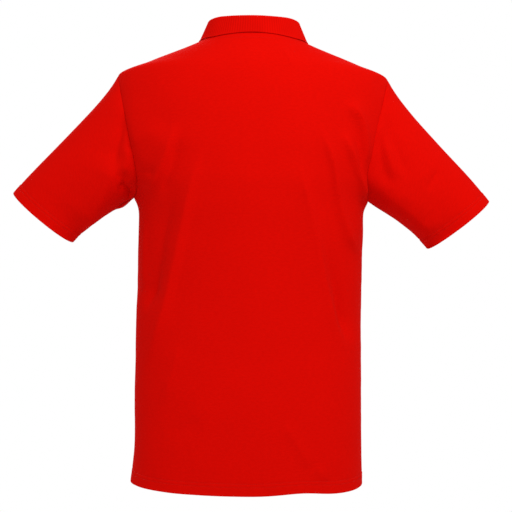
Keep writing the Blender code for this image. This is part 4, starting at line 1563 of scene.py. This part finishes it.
def collar_cloth(grid):
    """The collar as a panel, with its flat layout measured along its seam."""
    cloth = Cloth("collar", grid)
    quads = grid_quads(*cloth.relief.shape).reshape(-1, 4)
    alone = np.arange(cloth.relief.size)
    cloth.outward = sewn_normals(grid.reshape(-1, 3), quads, alone).reshape(grid.shape)
    middle = grid.shape[1] // 2
    seam_length = np.abs(cloth.across[-1] - cloth.across[-1, middle])
    side = np.sign(np.arange(grid.shape[1]) - middle)
    cloth.flat[:, :, 0] = (side * seam_length)[None, :]
    return cloth


class POLO_OT_collar(bpy.types.Operator):
    """Build the folded flat-knit collar"""

    bl_idname = "polo.collar"
    bl_label = "Collar"

    def execute(self, context):
        sizes = context.scene.polo_sizes
        cloths, neckline, _ = shirt_skin(sizes)
        grid = lift_clear(collar_grid(neckline), cloths)
        rib = material_named("flat_knit_rib", rib_material,
                             tuple(context.scene.polo_colours.rib), sizes.rib_pitch)
        piece = make_shell("collar_rib", collar_cloth(grid), sizes.rib_wall / 2, sizes.rib_wall,
                           COLLAR_ROUNDING, rib)
        edge_gap = nearest(np.array([vert.co for vert in piece.data.vertices]),
                           np.vstack((grid[0], grid[:, 0], grid[:, -1])))[1]
        ribbed = piece.data.attributes.new("ribbed", "FLOAT", "POINT")
        ribbed.data.foreach_set("value", smooth_step(edge_gap, *RIBS_START).astype(np.float32))
        tree, sockets = rib_tree()
        apply_tree(piece, tree, sockets, {"Pitch": sizes.rib_pitch,
                                          "Depth": sizes.rib_depth / 2, "Material": rib})
        finish_piece(piece, "rib", "collar")
        return {"FINISHED"}


def stage_camera(scene):
    """The camera behind the shirt, level with its middle and rolled as the shirt leans."""
    camera = bpy.data.cameras.new("camera")
    camera.lens = CAMERA_LENS
    camera.sensor_width = CAMERA_SENSOR
    camera.clip_end = CAMERA_REACH
    view = bpy.data.objects.new("camera", camera)
    turn = (Matrix.Rotation(math.pi, 4, "Z") @ Matrix.Rotation(math.pi / 2, 4, "X")
            @ Matrix.Rotation(CAMERA_ROLL, 4, "Z"))
    view.matrix_world = Matrix.Translation(CAMERA_PLACE) @ turn
    scene.collection.objects.link(view)
    scene.camera = view


def stage_floor():
    """A round pale floor, some way below the shirt."""
    form = bmesh.new()
    bmesh.ops.create_circle(form, cap_ends=True, segments=FLOOR_SEGMENTS, radius=FLOOR_RADIUS)
    bmesh.ops.translate(form, verts=form.verts, vec=(0, 0, FLOOR_HEIGHT))
    paint = new_material("floor_paint", {"Base Color": FLOOR_COLOUR, "Roughness": 0.9})[0]
    form_object("floor", form, paint)


def stage_lamp(name, around, height, power):
    """A square soft lamp, aimed at the shirt's chest."""
    light = bpy.data.lights.new(name, "AREA")
    light.shape = "SQUARE"
    light.size = LAMP_SIZE
    light.energy = power
    around, height = math.radians(around), math.radians(height)
    towards = Vector((-math.sin(around) * math.cos(height),
                      math.cos(around) * math.cos(height), math.sin(height)))
    add_object(name, light).matrix_world = (
        Matrix.Translation(LAMP_AIM + towards * LAMP_DISTANCE)
        @ towards.to_track_quat("Z", "Y").to_matrix().to_4x4())


def stage_world(scene):
    """A white studio, which the camera sees as plain white and the shirt as a softer fill."""
    world = bpy.data.worlds.new("studio")
    world.use_nodes = True
    tree = world.node_tree
    tree.nodes.clear()
    path = add_node(tree, "ShaderNodeLightPath")
    fill, seen = (add_node(tree, "ShaderNodeBackground", {"Color": (1, 1, 1, 1),
                                                          "Strength": strength})
                  for strength in (WORLD_LIGHT, 1.0))
    mixed = add_node(tree, "ShaderNodeMixShader",
                     {0: path.outputs["Is Camera Ray"], 1: fill, 2: seen})
    add_node(tree, "ShaderNodeOutputWorld", {"Surface": mixed})
    scene.world = world


class POLO_OT_stage(bpy.types.Operator):
    """Build the floor, the lights and the camera"""

    bl_idname = "polo.stage"
    bl_label = "Stage"

    def execute(self, context):
        scene = context.scene
        scene.view_settings.view_transform = "Standard"
        stage_camera(scene)
        stage_floor()
        for lamp in LAMPS:
            stage_lamp(*lamp)
        stage_world(scene)
        return {"FINISHED"}


class POLO_PT_panel(bpy.types.Panel):
    """The shirt's sizes, colours and pieces"""

    bl_idname = "POLO_PT_panel"
    bl_label = "Polo Shirt"
    bl_space_type = "VIEW_3D"
    bl_region_type = "UI"
    bl_category = "Polo Shirt"

    def draw(self, context):
        for group in (context.scene.polo_sizes, context.scene.polo_colours):
            for name in own_names(group):
                self.layout.prop(group, name)
        for operator in OPERATORS:
            self.layout.operator(operator.bl_idname)


OPERATORS = (POLO_OT_stage, POLO_OT_back, POLO_OT_front, POLO_OT_placket, POLO_OT_buttons,
             POLO_OT_sleeves, POLO_OT_collar)
CLASSES = (PoloSizes, PoloColours, *OPERATORS, POLO_PT_panel)


def register():
    """Add the shirt's sizes, colours, operators and panel to Blender."""
    for cls in CLASSES:
        bpy.utils.register_class(cls)
    bpy.types.Scene.polo_sizes = bpy.props.PointerProperty(type=PoloSizes)
    bpy.types.Scene.polo_colours = bpy.props.PointerProperty(type=PoloColours)


def unregister():
    """Take them all away again."""
    del bpy.types.Scene.polo_colours
    del bpy.types.Scene.polo_sizes
    for cls in reversed(CLASSES):
        bpy.utils.unregister_class(cls)


def main():
    """Build the shirt and its stage."""
    register()
    for operator in OPERATORS:
        group, name = operator.bl_idname.split(".")
        getattr(getattr(bpy.ops, group), name)()


if __name__ == "__main__":
    main()
